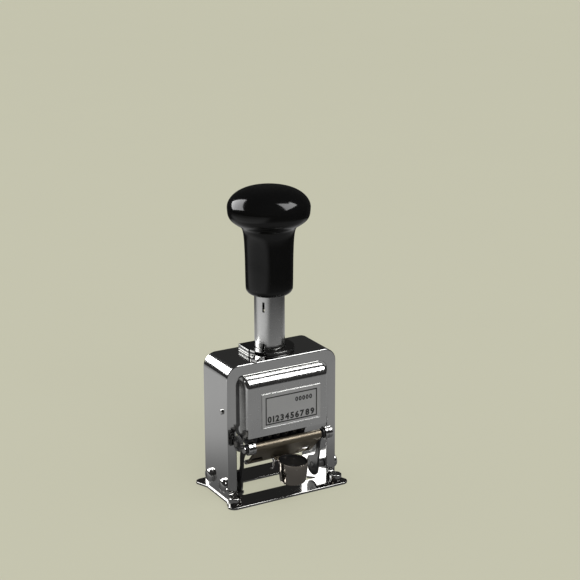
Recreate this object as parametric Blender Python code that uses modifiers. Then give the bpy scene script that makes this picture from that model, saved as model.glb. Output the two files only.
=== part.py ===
# Automatic numbering machine. Metres, Z up, front toward minus Y, the base stands on z = 0.
import math
import bpy
import bmesh
from mathutils import Vector

for oldObject in list(bpy.data.objects):
    bpy.data.objects.remove(oldObject, do_unlink=True)

mm = 0.001

# Clearances
gap = 0.3 * mm
seat = 0.1 * mm
overrun = 1.0 * mm

# Frame: an inverted U of steel
frameWidth = 62.0 * mm
frameDepth = 25.2 * mm
frameTop = 71.6 * mm
legThickness = 5.2 * mm
bridgeThickness = 5.9 * mm
shoulderRadius = 6.8 * mm
innerRadius = 4.6 * mm
frameEdgeRound = 0.35 * mm
frameEdgeLimit = math.radians(60.0)

# Base plate with its window and pointers
baseThickness = 1.2 * mm
baseFrontReach = 9.3 * mm
baseBackReach = 7.0 * mm
baseSideLip = 0.7 * mm
lobeOverhang = 3.2 * mm
lobeRound = 3.6 * mm
lobeRise = 6.5 * mm
windowFront = 9.6 * mm
windowBack = 5.5 * mm
windowLegGap = 4.4 * mm
windowCorner = 1.0 * mm
pointerReach = 3.3 * mm
pointerLine = 4.9 * mm
pointerHalfWidth = 3.4 * mm

# Studs in front of the legs
footStudRadius = 3.1 * mm
footStudHeight = 3.0 * mm
footStudInset = 1.8 * mm
footStudRound = 0.5 * mm
footSlotWidth = 0.8 * mm
footSlotDepth = 0.6 * mm

# Screws low on the legs
screwHeadRadius = 3.6 * mm
screwHeadHeight = 2.5 * mm
screwShankRadius = 1.6 * mm
screwSlotWidth = 0.9 * mm
screwSlotDepth = 0.8 * mm
rearScrewInset = 6.6 * mm
rearScrewDepth = 3.6 * mm

# Pivots of the pad arms, low on the legs
pivotInset = 4.06 * mm
pivotZ = 8.47 * mm
pivotBossRadius = 2.2 * mm
pivotPinRadius = 1.4 * mm

# Pin high on the left leg
sidePinRadius = 1.3 * mm
sidePinHeight = 0.8 * mm
sidePinDepth = 3.0 * mm
sidePinShank = 0.8 * mm
sidePinInset = 5.5 * mm
sidePinZ = 47.0 * mm

# Plunger tube
tubeRadius = 7.6 * mm
tubeBore = 5.6 * mm
tubeBottom = 57.0 * mm
tubeTopDrop = 26.9 * mm
tubeFit = 0.15 * mm
stroke = 21.8 * mm
plugHeight = 2.4 * mm

# Stacked collar plates and the lock slide
collarThickness = 0.8 * mm
spacerThickness = 0.9 * mm
capThickness = 0.8 * mm
collarRadius = 12.4 * mm
collarLeft = 12.8 * mm
collarBack = 9.8 * mm
collarLeftFront = 1.0 * mm
lockAngle = math.radians(52.0)
lockWidth = 7.0 * mm
lockThickness = 0.5 * mm
lockToothWidth = 0.7 * mm
lockToothLength = 2.6 * mm
lockTravel = 1.6 * mm
lockShoulder = 16.2 * mm
lockReach = 20.2 * mm
lockNibWidth = 3.4 * mm
lockRound = 1.4 * mm
notchWidth = 1.2 * mm
notchLift = 0.3 * mm
notchHeight = 5.2 * mm

# Spring and its seat inside the tube
seatPinRadius = 1.6 * mm
seatPinDrop = 3.5 * mm
springRadius = 4.2 * mm
springWire = 0.55 * mm
springTurns = 15
springPoints = 9

# Knob
knobRadius = 20.5 * mm
knobTop = 155.9 * mm
knobDome = 10.2 * mm
knobNeckRadius = 13.3 * mm
knobNeckDrop = 20.3 * mm
gripRadius = 11.7 * mm
gripDrop = 54.1 * mm
gripCorner = 3.2 * mm

# Cover of the carriage
coverLegGap = 2.8 * mm
coverProud = 6.0 * mm
coverBottom = 34.6 * mm
coverTop = 65.4 * mm
coverBack = 10.6 * mm
coverRadius = 5.0 * mm
coverWall = 1.2 * mm
coverEdge = 1.8 * mm
coverHeel = 4.0 * mm

# Label plate on the cover
labelLeftMargin = 8.1 * mm
labelRightMargin = 4.8 * mm
labelBottom = 38.3 * mm
labelTop = 56.6 * mm
labelThickness = 0.3 * mm
labelRim = 0.7 * mm
labelRimRise = 0.15 * mm

# Block and side plates inside the carriage
blockBottom = 54.0 * mm
blockTop = 60.2 * mm
blockBack = 9.2 * mm
socketDepth = 3.2 * mm
sideCoverGap = 4.8 * mm
sideThickness = 1.1 * mm
sideFront = 12.0 * mm
sideBack = 7.5 * mm
sideEye = 6.0 * mm

# Figure wheels on their shaft
wheelCount = 6
stackClearance = 0.2 * mm
ratchetWidth = 1.1 * mm
wheelRadius = 11.1 * mm
figureRise = 0.65 * mm
ratchetRadius = 8.4 * mm
ratchetDepth = 1.3 * mm
wheelY = -2.5 * mm
paperGap = 0.4 * mm
shaftRadius = 2.0 * mm
figureCount = 10

# Cradle that turns the printing line from the pad to the paper
cradleThickness = 1.0 * mm
cradleEye = 6.0 * mm
cradleBarInner = 13.6 * mm
cradleBarOuter = 15.4 * mm
cradleBarAngle = math.radians(62.0)
cradleBarHalf = math.radians(11.0)

# Pawl rocker on the same shaft
rockerBarInner = 11.6 * mm
rockerBarOuter = 13.0 * mm
rockerThickness = 0.8 * mm
rockerEye = 4.2 * mm
rockerAngle = math.radians(-10.0)
rockerHalf = math.radians(9.0)
pawlTip = 9.0 * mm
pawlThickness = 0.6 * mm
pawlHalf = math.radians(4.0)

# Movement dial at the left
dialRadius = 4.1 * mm
dialThickness = 1.9 * mm
dialLegGap = 0.4 * mm
dialZ = 33.0 * mm
dialReach = 5.2 * mm
dialShaftRadius = 0.75 * mm
dialHeadRadius = 1.5 * mm
dialHeadHeight = 0.5 * mm
dialTeeth = 18
dialToothDepth = 0.45 * mm
bracketThickness = 0.6 * mm
bracketHalfWidth = 1.7 * mm
bracketWeb = 37.4 * mm
bracketTop = 38.7 * mm
bracketFoot = 1.1 * mm

# Pad arms and rod
rodY = -17.77 * mm
rodZ = 29.18 * mm
rodRadius = 1.2 * mm
leftArmLegGap = 1.5 * mm
rightArmLegGap = 5.2 * mm
armThickness = 1.0 * mm
armEye = 2.5 * mm
armFoot = 5.5 * mm
nutRadius = 3.2 * mm
nutThickness = 2.4 * mm
nutGroove = 0.2 * mm
nutGrooveRadius = 2.5 * mm
nutCollar = 1.6 * mm
endCapRadius = 1.9 * mm
leftCapLength = 0.7 * mm
rightCapLength = 0.5 * mm

# Pad tray, a sloping plate that turns about the rod
trayArmGap = 0.9 * mm
trayThickness = 1.0 * mm
trayHem = 2.15 * mm
lipY = -8.5 * mm
lipZ = 18.01 * mm
lipRadius = 1.2 * mm
trayWindowMargin = 1.8 * mm
trayWindowWidth = 7.9 * mm
trayWindowSlant = 2.2 * mm
trayWindowShift = -0.9 * mm
trayWindowTop = 8.7 * mm
trayWindowBottom = 13.2 * mm
tongueHalfWidth = 5.2 * mm
tongueThickness = 1.3 * mm
padTrayMargin = 2.7 * mm
padStart = 2.7 * mm
padEnd = 8.3 * mm
padThickness = 3.6 * mm

# Thumb cup at the front of the tray
cupY = -23.4 * mm
cupTop = 20.8 * mm
cupBottom = 9.3 * mm
cupHalfWidth = 7.0 * mm
cupHalfDepth = 8.5 * mm
cupDish = 1.2 * mm

# Catch wire under the tray
catchWire = 0.45 * mm
catchX = -7.6 * mm
catchDrop = 5.2 * mm
catchHook = 1.9 * mm
catchForward = 2.6 * mm

# Places that follow from the sizes above
halfWidth = frameWidth / 2
halfDepth = frameDepth / 2
legInside = halfWidth - legThickness
baseFront = halfDepth + baseFrontReach
baseBack = halfDepth + baseBackReach
baseWaist = halfWidth + baseSideLip
lobeReach = halfWidth + lobeOverhang
windowHalfWidth = legInside - windowLegGap
footStudX = halfWidth - footStudInset
footStudY = -halfDepth - gap - footStudRadius
rearScrewY = halfDepth - rearScrewInset
pivotY = pivotInset - halfDepth
sidePinY = sidePinInset - halfDepth
coverHalfWidth = legInside - coverLegGap
coverFront = halfDepth + coverProud
labelLeft = coverHalfWidth - labelLeftMargin
labelRight = coverHalfWidth - labelRightMargin
sideInner = coverHalfWidth - coverWall - sideCoverGap
sideTop = blockBottom - gap
wheelRoom = sideInner - cradleThickness - rockerThickness - 2 * gap - stackClearance
wheelPitch = 2 * wheelRoom / wheelCount
wheelRim = wheelPitch - ratchetWidth - gap
dialY = -halfDepth - dialLegGap - dialRadius
dialOuter = coverHalfWidth + dialReach
leftArmInner = legInside - leftArmLegGap - armThickness
rightArmInner = legInside - rightArmLegGap - armThickness
trayHalfWidth = rightArmInner - trayArmGap
trayWindowOuter = trayHalfWidth - trayWindowMargin
trayWindowInner = trayWindowOuter - trayWindowWidth
padHalfWidth = trayHalfWidth - padTrayMargin
seatPinZ = frameTop - seatPinDrop
notchLowBottom = frameTop + notchLift
knobWidest = knobTop - knobDome
knobNeck = knobTop - knobNeckDrop
gripBottom = knobTop - gripDrop
tubeTop = knobTop - tubeTopDrop
wheelZ = stroke + paperGap + wheelRadius
slopeLength = math.hypot(lipY - rodY, lipZ - rodZ)
slopeY = (lipY - rodY) / slopeLength
slopeZ = (lipZ - rodZ) / slopeLength
lockX = -math.sin(lockAngle)
lockY = -math.cos(lockAngle)

mainCollection = bpy.data.collections.new("NumberingMachine")
cutterCollection = bpy.data.collections.new("Cutters")
bpy.context.scene.collection.children.link(mainCollection)
bpy.context.scene.collection.children.link(cutterCollection)
cutterCollection.hide_render = True


# One Principled material from a colour, a roughness and a metallic value
def makeMaterial(name, colour, roughness, metallic):
    material = bpy.data.materials.new(name)
    material.use_nodes = True
    shader = material.node_tree.nodes["Principled BSDF"]
    shader.inputs["Base Color"].default_value = (*colour, 1.0)
    shader.inputs["Roughness"].default_value = roughness
    shader.inputs["Metallic"].default_value = metallic
    material.diffuse_color = (*colour, 1.0)
    return material


chrome = makeMaterial("Chrome", (0.78, 0.78, 0.77), 0.12, 1.0)
satin = makeMaterial("SatinSteel", (0.55, 0.55, 0.54), 0.35, 1.0)
darkSteel = makeMaterial("DarkSteel", (0.05, 0.05, 0.055), 0.4, 0.8)
brass = makeMaterial("Brass", (0.72, 0.55, 0.28), 0.3, 1.0)
blackPlastic = makeMaterial("BlackPlastic", (0.01, 0.01, 0.01), 0.08, 0.0)
blackFelt = makeMaterial("BlackFelt", (0.015, 0.015, 0.02), 0.95, 0.0)
springSteel = makeMaterial("SpringSteel", (0.5, 0.5, 0.5), 0.3, 1.0)
labelMetal = makeMaterial("LabelMetal", (0.5, 0.5, 0.49), 0.4, 0.9)


# Puts a finished mesh in the scene; without a material it is a hidden tool for cuts and joins
def addObject(name, work, material):
    bmesh.ops.remove_doubles(work, verts=work.verts, dist=mm * mm)
    bmesh.ops.recalc_face_normals(work, faces=work.faces)
    mesh = bpy.data.meshes.new(name)
    work.to_mesh(mesh)
    work.free()
    made = bpy.data.objects.new(name, mesh)
    if material is None:
        cutterCollection.objects.link(made)
        made.hide_render = True
        made.display_type = "WIRE"
    else:
        mesh.materials.append(material)
        mainCollection.objects.link(made)
    return made


# The three ways a flat outline can stand: its two numbers and the way it is pushed out
def placePoint(axis, a, b, push):
    if axis == "X":
        return Vector((push, a, b))
    if axis == "Y":
        return Vector((a, push, b))
    return Vector((a, b, push))


# Closed outline pushed out from low to high along one axis
def prism(name, outline, low, high, axis, material):
    work = bmesh.new()
    first = [work.verts.new(placePoint(axis, a, b, low)) for a, b in outline]
    second = [work.verts.new(placePoint(axis, a, b, high)) for a, b in outline]
    count = len(outline)
    work.faces.new(first)
    work.faces.new(second)
    for index in range(count):
        after = (index + 1) % count
        work.faces.new((first[index], first[after], second[after], second[index]))
    return addObject(name, work, material)


# Stack of closed loops joined by quads, with flat ends; loops are lists of points
def loopStack(name, loops, material, ring=False):
    work = bmesh.new()
    rows = [[work.verts.new(point) for point in loop] for loop in loops]
    count = len(loops[0])
    pairs = list(zip(rows[:-1], rows[1:]))
    if ring:
        pairs.append((rows[-1], rows[0]))
    for low, high in pairs:
        for index in range(count):
            after = (index + 1) % count
            work.faces.new((low[index], low[after], high[after], high[index]))
    if not ring:
        work.faces.new(rows[0])
        work.faces.new(rows[-1])
    return addObject(name, work, material)


# Profile of (radius, place along the axis) turned about an axis through centre
def lathe(name, profile, centre, axis, segments, material, closed=False):
    loops = []
    for radius, along in profile:
        loop = []
        for step in range(segments):
            angle = 2 * math.pi * step / segments
            a = radius * math.cos(angle)
            b = radius * math.sin(angle)
            loop.append(Vector(centre) + placePoint(axis, a, b, along))
        loops.append(loop)
    return loopStack(name, loops, material, closed)


# Points of an arc, from one angle to another
def arc(centreA, centreB, radius, start, end, steps):
    angles = [start + (end - start) * step / steps for step in range(steps + 1)]
    return [(centreA + radius * math.cos(angle), centreB + radius * math.sin(angle)) for angle in angles]


# Boolean of a hidden tool on a part
def combine(part, tool, operation):
    modifier = part.modifiers.new(operation.title(), "BOOLEAN")
    modifier.operation = operation
    modifier.solver = "EXACT"
    modifier.object = tool


def cut(part, tool):
    combine(part, tool, "DIFFERENCE")


def join(part, tool):
    combine(part, tool, "UNION")


def bevel(part, width, segments, limit):
    modifier = part.modifiers.new("Bevel", "BEVEL")
    modifier.width = width
    modifier.segments = segments
    modifier.limit_method = "ANGLE"
    modifier.angle_limit = limit


# Moves an object's origin to a place and leaves its shape where it is
def setOrigin(part, place):
    shift = Vector(place)
    for vertex in part.data.vertices:
        vertex.co -= shift
    part.location = shift


def box(name, lowCorner, highCorner, material):
    outline = [(lowCorner[0], lowCorner[1]), (highCorner[0], lowCorner[1]),
               (highCorner[0], highCorner[1]), (lowCorner[0], highCorner[1])]
    return prism(name, outline, lowCorner[2], highCorner[2], "Z", material)


def rod(name, centre, axis, radius, low, high, segments, material):
    return lathe(name, [(radius, low), (radius, high)], centre, axis, segments, material)


half = math.pi / 2

# Frame
outside = [(halfWidth, baseThickness + seat)]
outside += arc(halfWidth - shoulderRadius, frameTop - shoulderRadius, shoulderRadius, 0, half, 8)
outside += arc(shoulderRadius - halfWidth, frameTop - shoulderRadius, shoulderRadius, half, math.pi, 8)
outside += [(-halfWidth, baseThickness + seat), (-legInside, baseThickness + seat)]
bridgeUnder = frameTop - bridgeThickness
inside = arc(innerRadius - legInside, bridgeUnder - innerRadius, innerRadius, math.pi, half, 5)
inside += arc(legInside - innerRadius, bridgeUnder - innerRadius, innerRadius, half, 0, 5)
inside += [(legInside, baseThickness + seat)]
frame = prism("frame", outside + inside, -halfDepth, halfDepth, "Y", satin)
bevel(frame, frameEdgeRound, 1, frameEdgeLimit)
cut(frame, rod("frame_bore", (0, 0, 0), "Z", tubeRadius + gap, bridgeUnder - overrun,
               frameTop + overrun, 40, None))
for side in (-1, 1):
    low = min(side * (legInside - overrun), side * (halfWidth + overrun))
    high = max(side * (legInside - overrun), side * (halfWidth + overrun))
    cut(frame, rod("pivot_bore", (0, pivotY, pivotZ), "X", screwShankRadius + gap, low, high, 16, None))
    low = min(side * (halfWidth - rearScrewDepth - gap), side * (halfWidth + overrun))
    high = max(side * (halfWidth - rearScrewDepth - gap), side * (halfWidth + overrun))
    cut(frame, rod("screw_bore", (0, rearScrewY, pivotZ), "X", screwShankRadius + gap, low, high, 16, None))
cut(frame, rod("pin_bore", (0, sidePinY, sidePinZ), "X", sidePinShank + gap, -halfWidth - overrun,
               sidePinDepth + gap - halfWidth, 12, None))
cut(frame, rod("seat_bore", (0, 0, seatPinZ), "Y", seatPinRadius + gap, tubeRadius,
               halfDepth + overrun, 16, None))

# Base plate: a waist between four rounded lobes, with a window and two pointers
basePoints = []
for mirrorX, mirrorY, depth in ((1, 1, baseBack), (-1, 1, baseBack), (-1, -1, baseFront), (1, -1, baseFront)):
    quarter = [(baseWaist, depth - lobeRound - lobeRise)]
    quarter += arc(lobeReach - lobeRound, depth - lobeRound, lobeRound, 0, half, 5)
    quarter = [(mirrorX * x, mirrorY * y) for x, y in quarter]
    if mirrorX != mirrorY:
        quarter.reverse()
    basePoints += quarter
base = prism("base_plate", basePoints, 0, baseThickness, "Z", chrome)
pointerTip = windowHalfWidth - pointerReach
pointerSide = [(windowHalfWidth, -windowFront + windowCorner), (windowHalfWidth, -pointerLine - pointerHalfWidth)]
pointerSide += [(pointerTip + pointerReach / 6, -pointerLine - pointerHalfWidth / 4), (pointerTip, -pointerLine),
                (pointerTip + pointerReach / 6, -pointerLine + pointerHalfWidth / 4)]
pointerSide += [(windowHalfWidth, -pointerLine + pointerHalfWidth + pointerHalfWidth / 2),
                (windowHalfWidth, windowBack - windowCorner), (windowHalfWidth - windowCorner, windowBack)]
windowPoints = [(windowHalfWidth - windowCorner, -windowFront)] + pointerSide
windowPoints += [(-x, y) for x, y in reversed(windowPoints)]
cut(base, prism("window_cut", windowPoints, -overrun, baseThickness + overrun, "Z", None))

# Studs in front of the legs
for side, word in ((-1, "left"), (1, "right")):
    place = (side * footStudX, footStudY, 0)
    low = baseThickness + seat
    high = low + footStudHeight
    profile = [(footStudRadius, low), (footStudRadius, high - footStudRound),
               (footStudRadius - footStudRound / 3, high - footStudRound / 3),
               (footStudRadius - footStudRound, high)]
    stud = lathe("foot_stud_" + word, profile, place, "Z", 24, chrome)
    slot = box("foot_slot", (place[0] - footStudRadius - overrun, place[1] - footSlotWidth / 2, high - footSlotDepth),
               (place[0] + footStudRadius + overrun, place[1] + footSlotWidth / 2, high + overrun), None)
    cut(stud, slot)


# Round screw head on the outside of a leg, with a slot across it
def headProfile(side):
    start = halfWidth + seat
    shares = ((1.0, 0.0), (1.0, 0.3), (0.96, 0.55), (0.82, 0.8), (0.6, 0.94), (0.3, 1.0))
    return [(screwHeadRadius * wide, side * (start + screwHeadHeight * deep)) for wide, deep in shares]


def slotHead(screw, side, y, z):
    outer = halfWidth + seat + screwHeadHeight
    edges = sorted((side * (outer - screwSlotDepth), side * (outer + overrun)))
    across = screwHeadRadius + overrun
    tool = box("screw_slot", (edges[0], y - screwSlotWidth / 2, z - across),
               (edges[1], y + screwSlotWidth / 2, z + across), None)
    cut(screw, tool)


# Pivot screws of the pad arms and the plain screws behind them
for side, word, armInner in ((-1, "left", leftArmInner), (1, "right", rightArmInner)):
    bossEnd = armInner + armThickness + gap
    inner = [(pivotPinRadius, side * armInner), (pivotPinRadius, side * bossEnd),
             (pivotBossRadius, side * bossEnd), (pivotBossRadius, side * (legInside - gap)),
             (screwShankRadius, side * (legInside - gap)), (screwShankRadius, side * (halfWidth + seat))]
    pivot = lathe("pad_pivot_" + word, inner + headProfile(side), (0, pivotY, pivotZ), "X", 24, chrome)
    slotHead(pivot, side, pivotY, pivotZ)
    shank = [(screwShankRadius, side * (halfWidth - rearScrewDepth)), (screwShankRadius, side * (halfWidth + seat))]
    plain = lathe("frame_screw_" + word, shank + headProfile(side), (0, rearScrewY, pivotZ), "X", 24, chrome)
    slotHead(plain, side, rearScrewY, pivotZ)

# Small pin with a round head in the left leg
pinFace = -halfWidth - seat
pinProfile = [(sidePinShank, sidePinDepth - halfWidth), (sidePinShank, pinFace), (sidePinRadius, pinFace),
              (sidePinRadius, pinFace - sidePinHeight / 2), (sidePinRadius * 0.6, pinFace - sidePinHeight)]
lathe("side_pin", pinProfile, (0, sidePinY, sidePinZ), "X", 16, chrome)

# Collar plates: round at the front and right, square at the left and back
collarTurn = math.asin(collarBack / collarRadius)
collarStart = math.asin(collarLeftFront / collarRadius)
collarOutline = [(-collarLeft, collarBack), (-collarLeft, -collarLeftFront)]
collarOutline += arc(0, 0, collarRadius, math.pi + 2 * collarStart, 2 * math.pi + collarTurn, 26)
collarLow = frameTop + seat
spacerLow = collarLow + collarThickness + seat
capLow = spacerLow + spacerThickness + seat
plate = prism("collar_plate", collarOutline, collarLow, collarLow + collarThickness, "Z", chrome)
spacer = prism("collar_spacer", collarOutline, spacerLow, spacerLow + spacerThickness, "Z", chrome)
cap = prism("collar_cap", collarOutline, capLow, capLow + capThickness, "Z", chrome)


# Turns places along and across the lock slide into x and y
def lockPoint(along, across):
    return (lockX * along - lockY * across, lockY * along + lockX * across)


def lockOutline(start, end, width):
    corners = ((start, -width / 2), (end, -width / 2), (end, width / 2), (start, width / 2))
    return [lockPoint(along, across) for along, across in corners]


for part, low, thick in ((plate, collarLow, collarThickness), (spacer, spacerLow, spacerThickness),
                         (cap, capLow, capThickness)):
    cut(part, rod("collar_bore", (0, 0, 0), "Z", tubeRadius + gap, low - overrun, low + thick + overrun, 40, None))
cut(spacer, prism("slide_cut", lockOutline(0, lockReach, lockWidth + 2 * gap), spacerLow - overrun,
                  spacerLow + spacerThickness + overrun, "Z", None))

# Lock slide: a tooth toward the tube, a tongue in the spacer and a thumb tab outside
slideLow = spacerLow + (spacerThickness - lockThickness) / 2
toothTip = tubeRadius + gap
toothRoot = toothTip + lockToothLength
tabSide = [(lockShoulder - lockRound, lockWidth / 2), (lockShoulder - lockRound / 3, lockWidth / 2 - lockRound / 3),
           (lockShoulder, lockNibWidth / 2), (lockReach - lockRound / 2, lockNibWidth / 2),
           (lockReach, lockNibWidth / 2 - lockRound / 2)]
tabStart = collarRadius + lockTravel + gap
tabPoints = [(tabStart, lockWidth / 2)] + tabSide
slidePoints = [(toothTip, lockToothWidth / 2), (toothRoot, lockToothWidth / 2), (toothRoot, lockWidth / 2)] + tabSide
mirrored = [(along, -across) for along, across in reversed(slidePoints)]
slide = prism("lock_slide", [lockPoint(*spot) for spot in slidePoints + mirrored], slideLow,
              slideLow + lockThickness, "Z", chrome)
mirrored = [(along, -across) for along, across in reversed(tabPoints)]
join(slide, prism("lock_tab", [lockPoint(*spot) for spot in tabPoints + mirrored], collarLow + seat,
                  slideLow + lockThickness / 2, "Z", None))
setOrigin(slide, (lockX * lockReach, lockY * lockReach, slideLow))

# Plunger tube with a slot at the back for the spring seat and two notches for the lock
tubeProfile = [(tubeBore, tubeBottom), (tubeRadius, tubeBottom), (tubeRadius, tubeTop), (tubeBore, tubeTop)]
tube = lathe("plunger_tube", tubeProfile, (0, 0, 0), "Z", 40, satin, True)
slotHalf = seatPinRadius + gap
cut(tube, box("seat_slot", (-slotHalf, tubeBore / 2, seatPinZ - slotHalf),
              (slotHalf, tubeRadius + overrun, seatPinZ + stroke + slotHalf + gap), None))
for low in (notchLowBottom, notchLowBottom + stroke):
    cut(tube, prism("notch_cut", lockOutline(tubeBore / 2, tubeRadius + overrun, notchWidth), low,
                    low + notchHeight, "Z", None))
plugLow = tubeTop - plugHeight
rod("plunger_plug", (0, 0, 0), "Z", tubeBore - tubeFit, plugLow, tubeTop, 24, satin)

# Spring seat: a pin from the back of the bridge and a round pad inside the tube
seatPart = rod("spring_seat", (0, 0, 0), "Z", tubeBore - gap - seat, seatPinZ - seatPinRadius,
               seatPinZ + seatPinRadius, 24, satin)
join(seatPart, rod("seat_pin", (0, 0, seatPinZ), "Y", seatPinRadius - seat, 0, halfDepth - seat, 16, None))

# Return spring inside the tube, one unbroken coil
springLow = seatPinZ + seatPinRadius + gap + springWire
springHigh = plugLow - gap - springWire
curve = bpy.data.curves.new("return_spring", "CURVE")
curve.dimensions = "3D"
curve.bevel_depth = springWire
curve.bevel_resolution = 1
curve.use_fill_caps = True
spline = curve.splines.new("POLY")
coilCount = springTurns * springPoints
spline.points.add(coilCount)
for index in range(coilCount + 1):
    turn = 2 * math.pi * index / springPoints
    height = springLow + (springHigh - springLow) * index / coilCount
    spline.points[index].co = (springRadius * math.cos(turn), springRadius * math.sin(turn), height, 1)
spring = bpy.data.objects.new("return_spring", curve)
curve.materials.append(springSteel)
mainCollection.objects.link(spring)
print("spring gap to itself in mm", round(((springHigh - springLow) / springTurns - 2 * springWire) / mm, 2))

# Knob: a mushroom head on a tapered grip, bored for the tube
headTopShares = ((0.0, 1.0), (0.16, 0.99), (0.3, 0.972), (0.44, 0.935), (0.585, 0.86), (0.71, 0.757),
                 (0.815, 0.63), (0.896, 0.487), (0.954, 0.328), (0.988, 0.165), (1.0, 0.0))
headLowShares = ((0.995, 0.18), (0.984, 0.35), (0.948, 0.53), (0.871, 0.69), (0.76, 0.85))
gripShares = ((0.0, 1.0), (0.1, 0.55), (0.2, 0.38), (0.5, 0.17), (0.9, 0.02))
knobProfile = [(knobRadius * wide, knobWidest + (knobTop - knobWidest) * high) for wide, high in headTopShares[1:]]
knobProfile += [(knobRadius * wide, knobWidest - (knobWidest - knobNeck) * low) for wide, low in headLowShares]
gripTop = knobNeck - (knobWidest - knobNeck) / 20
for down, wide in gripShares:
    knobProfile.append((gripRadius + (knobNeckRadius - gripRadius) * wide,
                        gripTop - (gripTop - gripBottom) * down))
knobProfile += [(gripRadius - gripCorner * (1 - math.cos(angle)), gripBottom + gripCorner * (1 - math.sin(angle)))
                for angle in (0, half / 3, half * 2 / 3, half)]
knob = lathe("knob", knobProfile, (0, 0, 0), "Z", 48, blackPlastic)
cut(knob, rod("knob_bore", (0, 0, 0), "Z", tubeRadius + tubeFit, gripBottom - overrun, tubeTop + seat, 40, None))

# Carriage block with a socket for the tube
block = box("carriage_block", (gap + coverWall - coverHalfWidth, gap + coverWall - coverFront, blockBottom),
            (coverHalfWidth - coverWall - gap, blockBack, blockTop), darkSteel)
cut(block, rod("socket_cut", (0, 0, 0), "Z", tubeRadius + tubeFit, tubeBottom - seat, blockTop + overrun, 40, None))

# Cover: front, rounded top and two sides of one bent sheet
coverArc = arc(coverRadius - coverFront, coverTop - coverRadius, coverRadius, math.pi, half, 7)
coverOutline = [(-coverFront, coverBottom)] + coverArc + [(-coverBack, coverTop)]
coverOutline += [(-coverBack, coverBottom + coverHeel), (-coverBack - coverHeel / 3, coverBottom + coverHeel / 3),
                 (-coverBack - coverHeel, coverBottom)]
cover = prism("cover", coverOutline, -coverHalfWidth, coverHalfWidth, "X", satin)
cover.data.update()
work = bmesh.new()
work.from_mesh(cover.data)
edges = []
for edge in work.edges:
    first, second = (vertex.co for vertex in edge.verts)
    sameSide = abs(first.x - second.x) < seat
    notBack = min(first.y, second.y) < -coverBack - seat
    notHeel = max(first.z, second.z) > coverBottom + coverHeel + seat
    if sameSide and notBack and notHeel:
        edges.append(edge)
bmesh.ops.bevel(work, geom=edges, offset=coverEdge, segments=4, profile=0.5, affect="EDGES")
bmesh.ops.recalc_face_normals(work, faces=work.faces)
work.to_mesh(cover.data)
work.free()
innerArc = arc(coverRadius - coverFront, coverTop - coverRadius, coverRadius - coverWall, math.pi, half, 7)
hollow = [(coverWall - coverFront, coverBottom - overrun)] + innerArc + [(overrun - coverBack, coverTop - coverWall)]
hollow += [(overrun - coverBack, coverBottom - overrun)]
cut(cover, prism("cover_hollow", hollow, coverWall - coverHalfWidth, coverHalfWidth - coverWall, "X", None))

# Label plate with a raised rim
labelFace = -coverFront - seat
label = prism("label_plate", [(-labelLeft, labelBottom), (labelRight, labelBottom), (labelRight, labelTop),
                              (-labelLeft, labelTop)], labelFace - labelThickness - labelRimRise, labelFace,
              "Y", labelMetal)
cut(label, prism("label_field", [(labelRim - labelLeft, labelBottom + labelRim),
                                 (labelRight - labelRim, labelBottom + labelRim),
                                 (labelRight - labelRim, labelTop - labelRim),
                                 (labelRim - labelLeft, labelTop - labelRim)],
                 labelFace - labelThickness - overrun, labelFace - labelThickness, "Y", None))

# Side plates that carry the wheel shaft
for side, word in ((-1, "left"), (1, "right")):
    edges = sorted((side * sideInner, side * (sideInner + sideThickness)))
    outline = arc(wheelY, wheelZ, sideEye, math.pi, 2 * math.pi, 10)
    outline += [(sideBack, wheelZ + 2 * sideEye), (sideBack, sideTop), (-sideFront, sideTop),
                (-sideFront, wheelZ + 2 * sideEye)]
    plateSide = prism("carriage_side_" + word, outline, edges[0], edges[1], "X", darkSteel)
    cut(plateSide, rod("side_bore", (0, wheelY, wheelZ), "X", shaftRadius + gap, edges[0] - overrun,
                       edges[1] + overrun, 20, None))
rod("wheel_shaft", (0, wheelY, wheelZ), "X", shaftRadius, -sideInner - sideThickness - gap,
    sideInner + sideThickness + gap, 20, satin)

# Figure wheels: ten raised faces on the rim and a ratchet at the right side of each
# At rest one face of each wheel looks square at the pad
boreRadius = shaftRadius + gap
facing = math.atan2(-slopeY, slopeZ)
for number in range(wheelCount):
    start = (number - wheelCount / 2) * wheelPitch + gap / 2
    loops = [[], [], [], [], [], []]
    for index in range(figureCount):
        turn = 2 * math.pi / figureCount
        for share, rise, tooth in ((-0.42, 0, 1.0), (-0.32, 1, 0.2), (0, 1, 0.4), (0.32, 1, 0.7), (0.42, 0, 0.9)):
            angle = turn * (index + share) + facing
            rim = wheelRadius - figureRise * (1 - rise)
            teeth = ratchetRadius - ratchetDepth * (1 - tooth)
            spots = ((boreRadius, start), (rim, start), (rim, start + wheelRim), (teeth, start + wheelRim),
                     (teeth, start + wheelRim + ratchetWidth), (boreRadius, start + wheelRim + ratchetWidth))
            for loop, (radius, x) in zip(loops, spots):
                loop.append(Vector((x, wheelY + radius * math.cos(angle), wheelZ + radius * math.sin(angle))))
    wheel = loopStack("figure_wheel_" + str(number + 1), loops, brass, True)
    setOrigin(wheel, (start, wheelY, wheelZ))


# A ring sector seen along X, with a round eye at the shaft
def sectorOutline(inner, outer, middle, spread, steps):
    outline = arc(wheelY, wheelZ, outer, middle - spread, middle + spread, steps)
    return outline + arc(wheelY, wheelZ, inner, middle + spread, middle - spread, steps)


def eyeArm(name, eye, outer, middle, spread, low, high, material):
    outline = arc(wheelY, wheelZ, eye, middle + half, middle - half + 2 * math.pi, 12)
    outline += arc(wheelY, wheelZ, outer, middle - spread + 2 * math.pi, middle + spread + 2 * math.pi, 3)
    made = prism(name, outline, low, high, "X", material)
    cut(made, rod("eye_bore", (0, wheelY, wheelZ), "X", boreRadius, low - overrun, high + overrun, 20, None))
    return made


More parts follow.
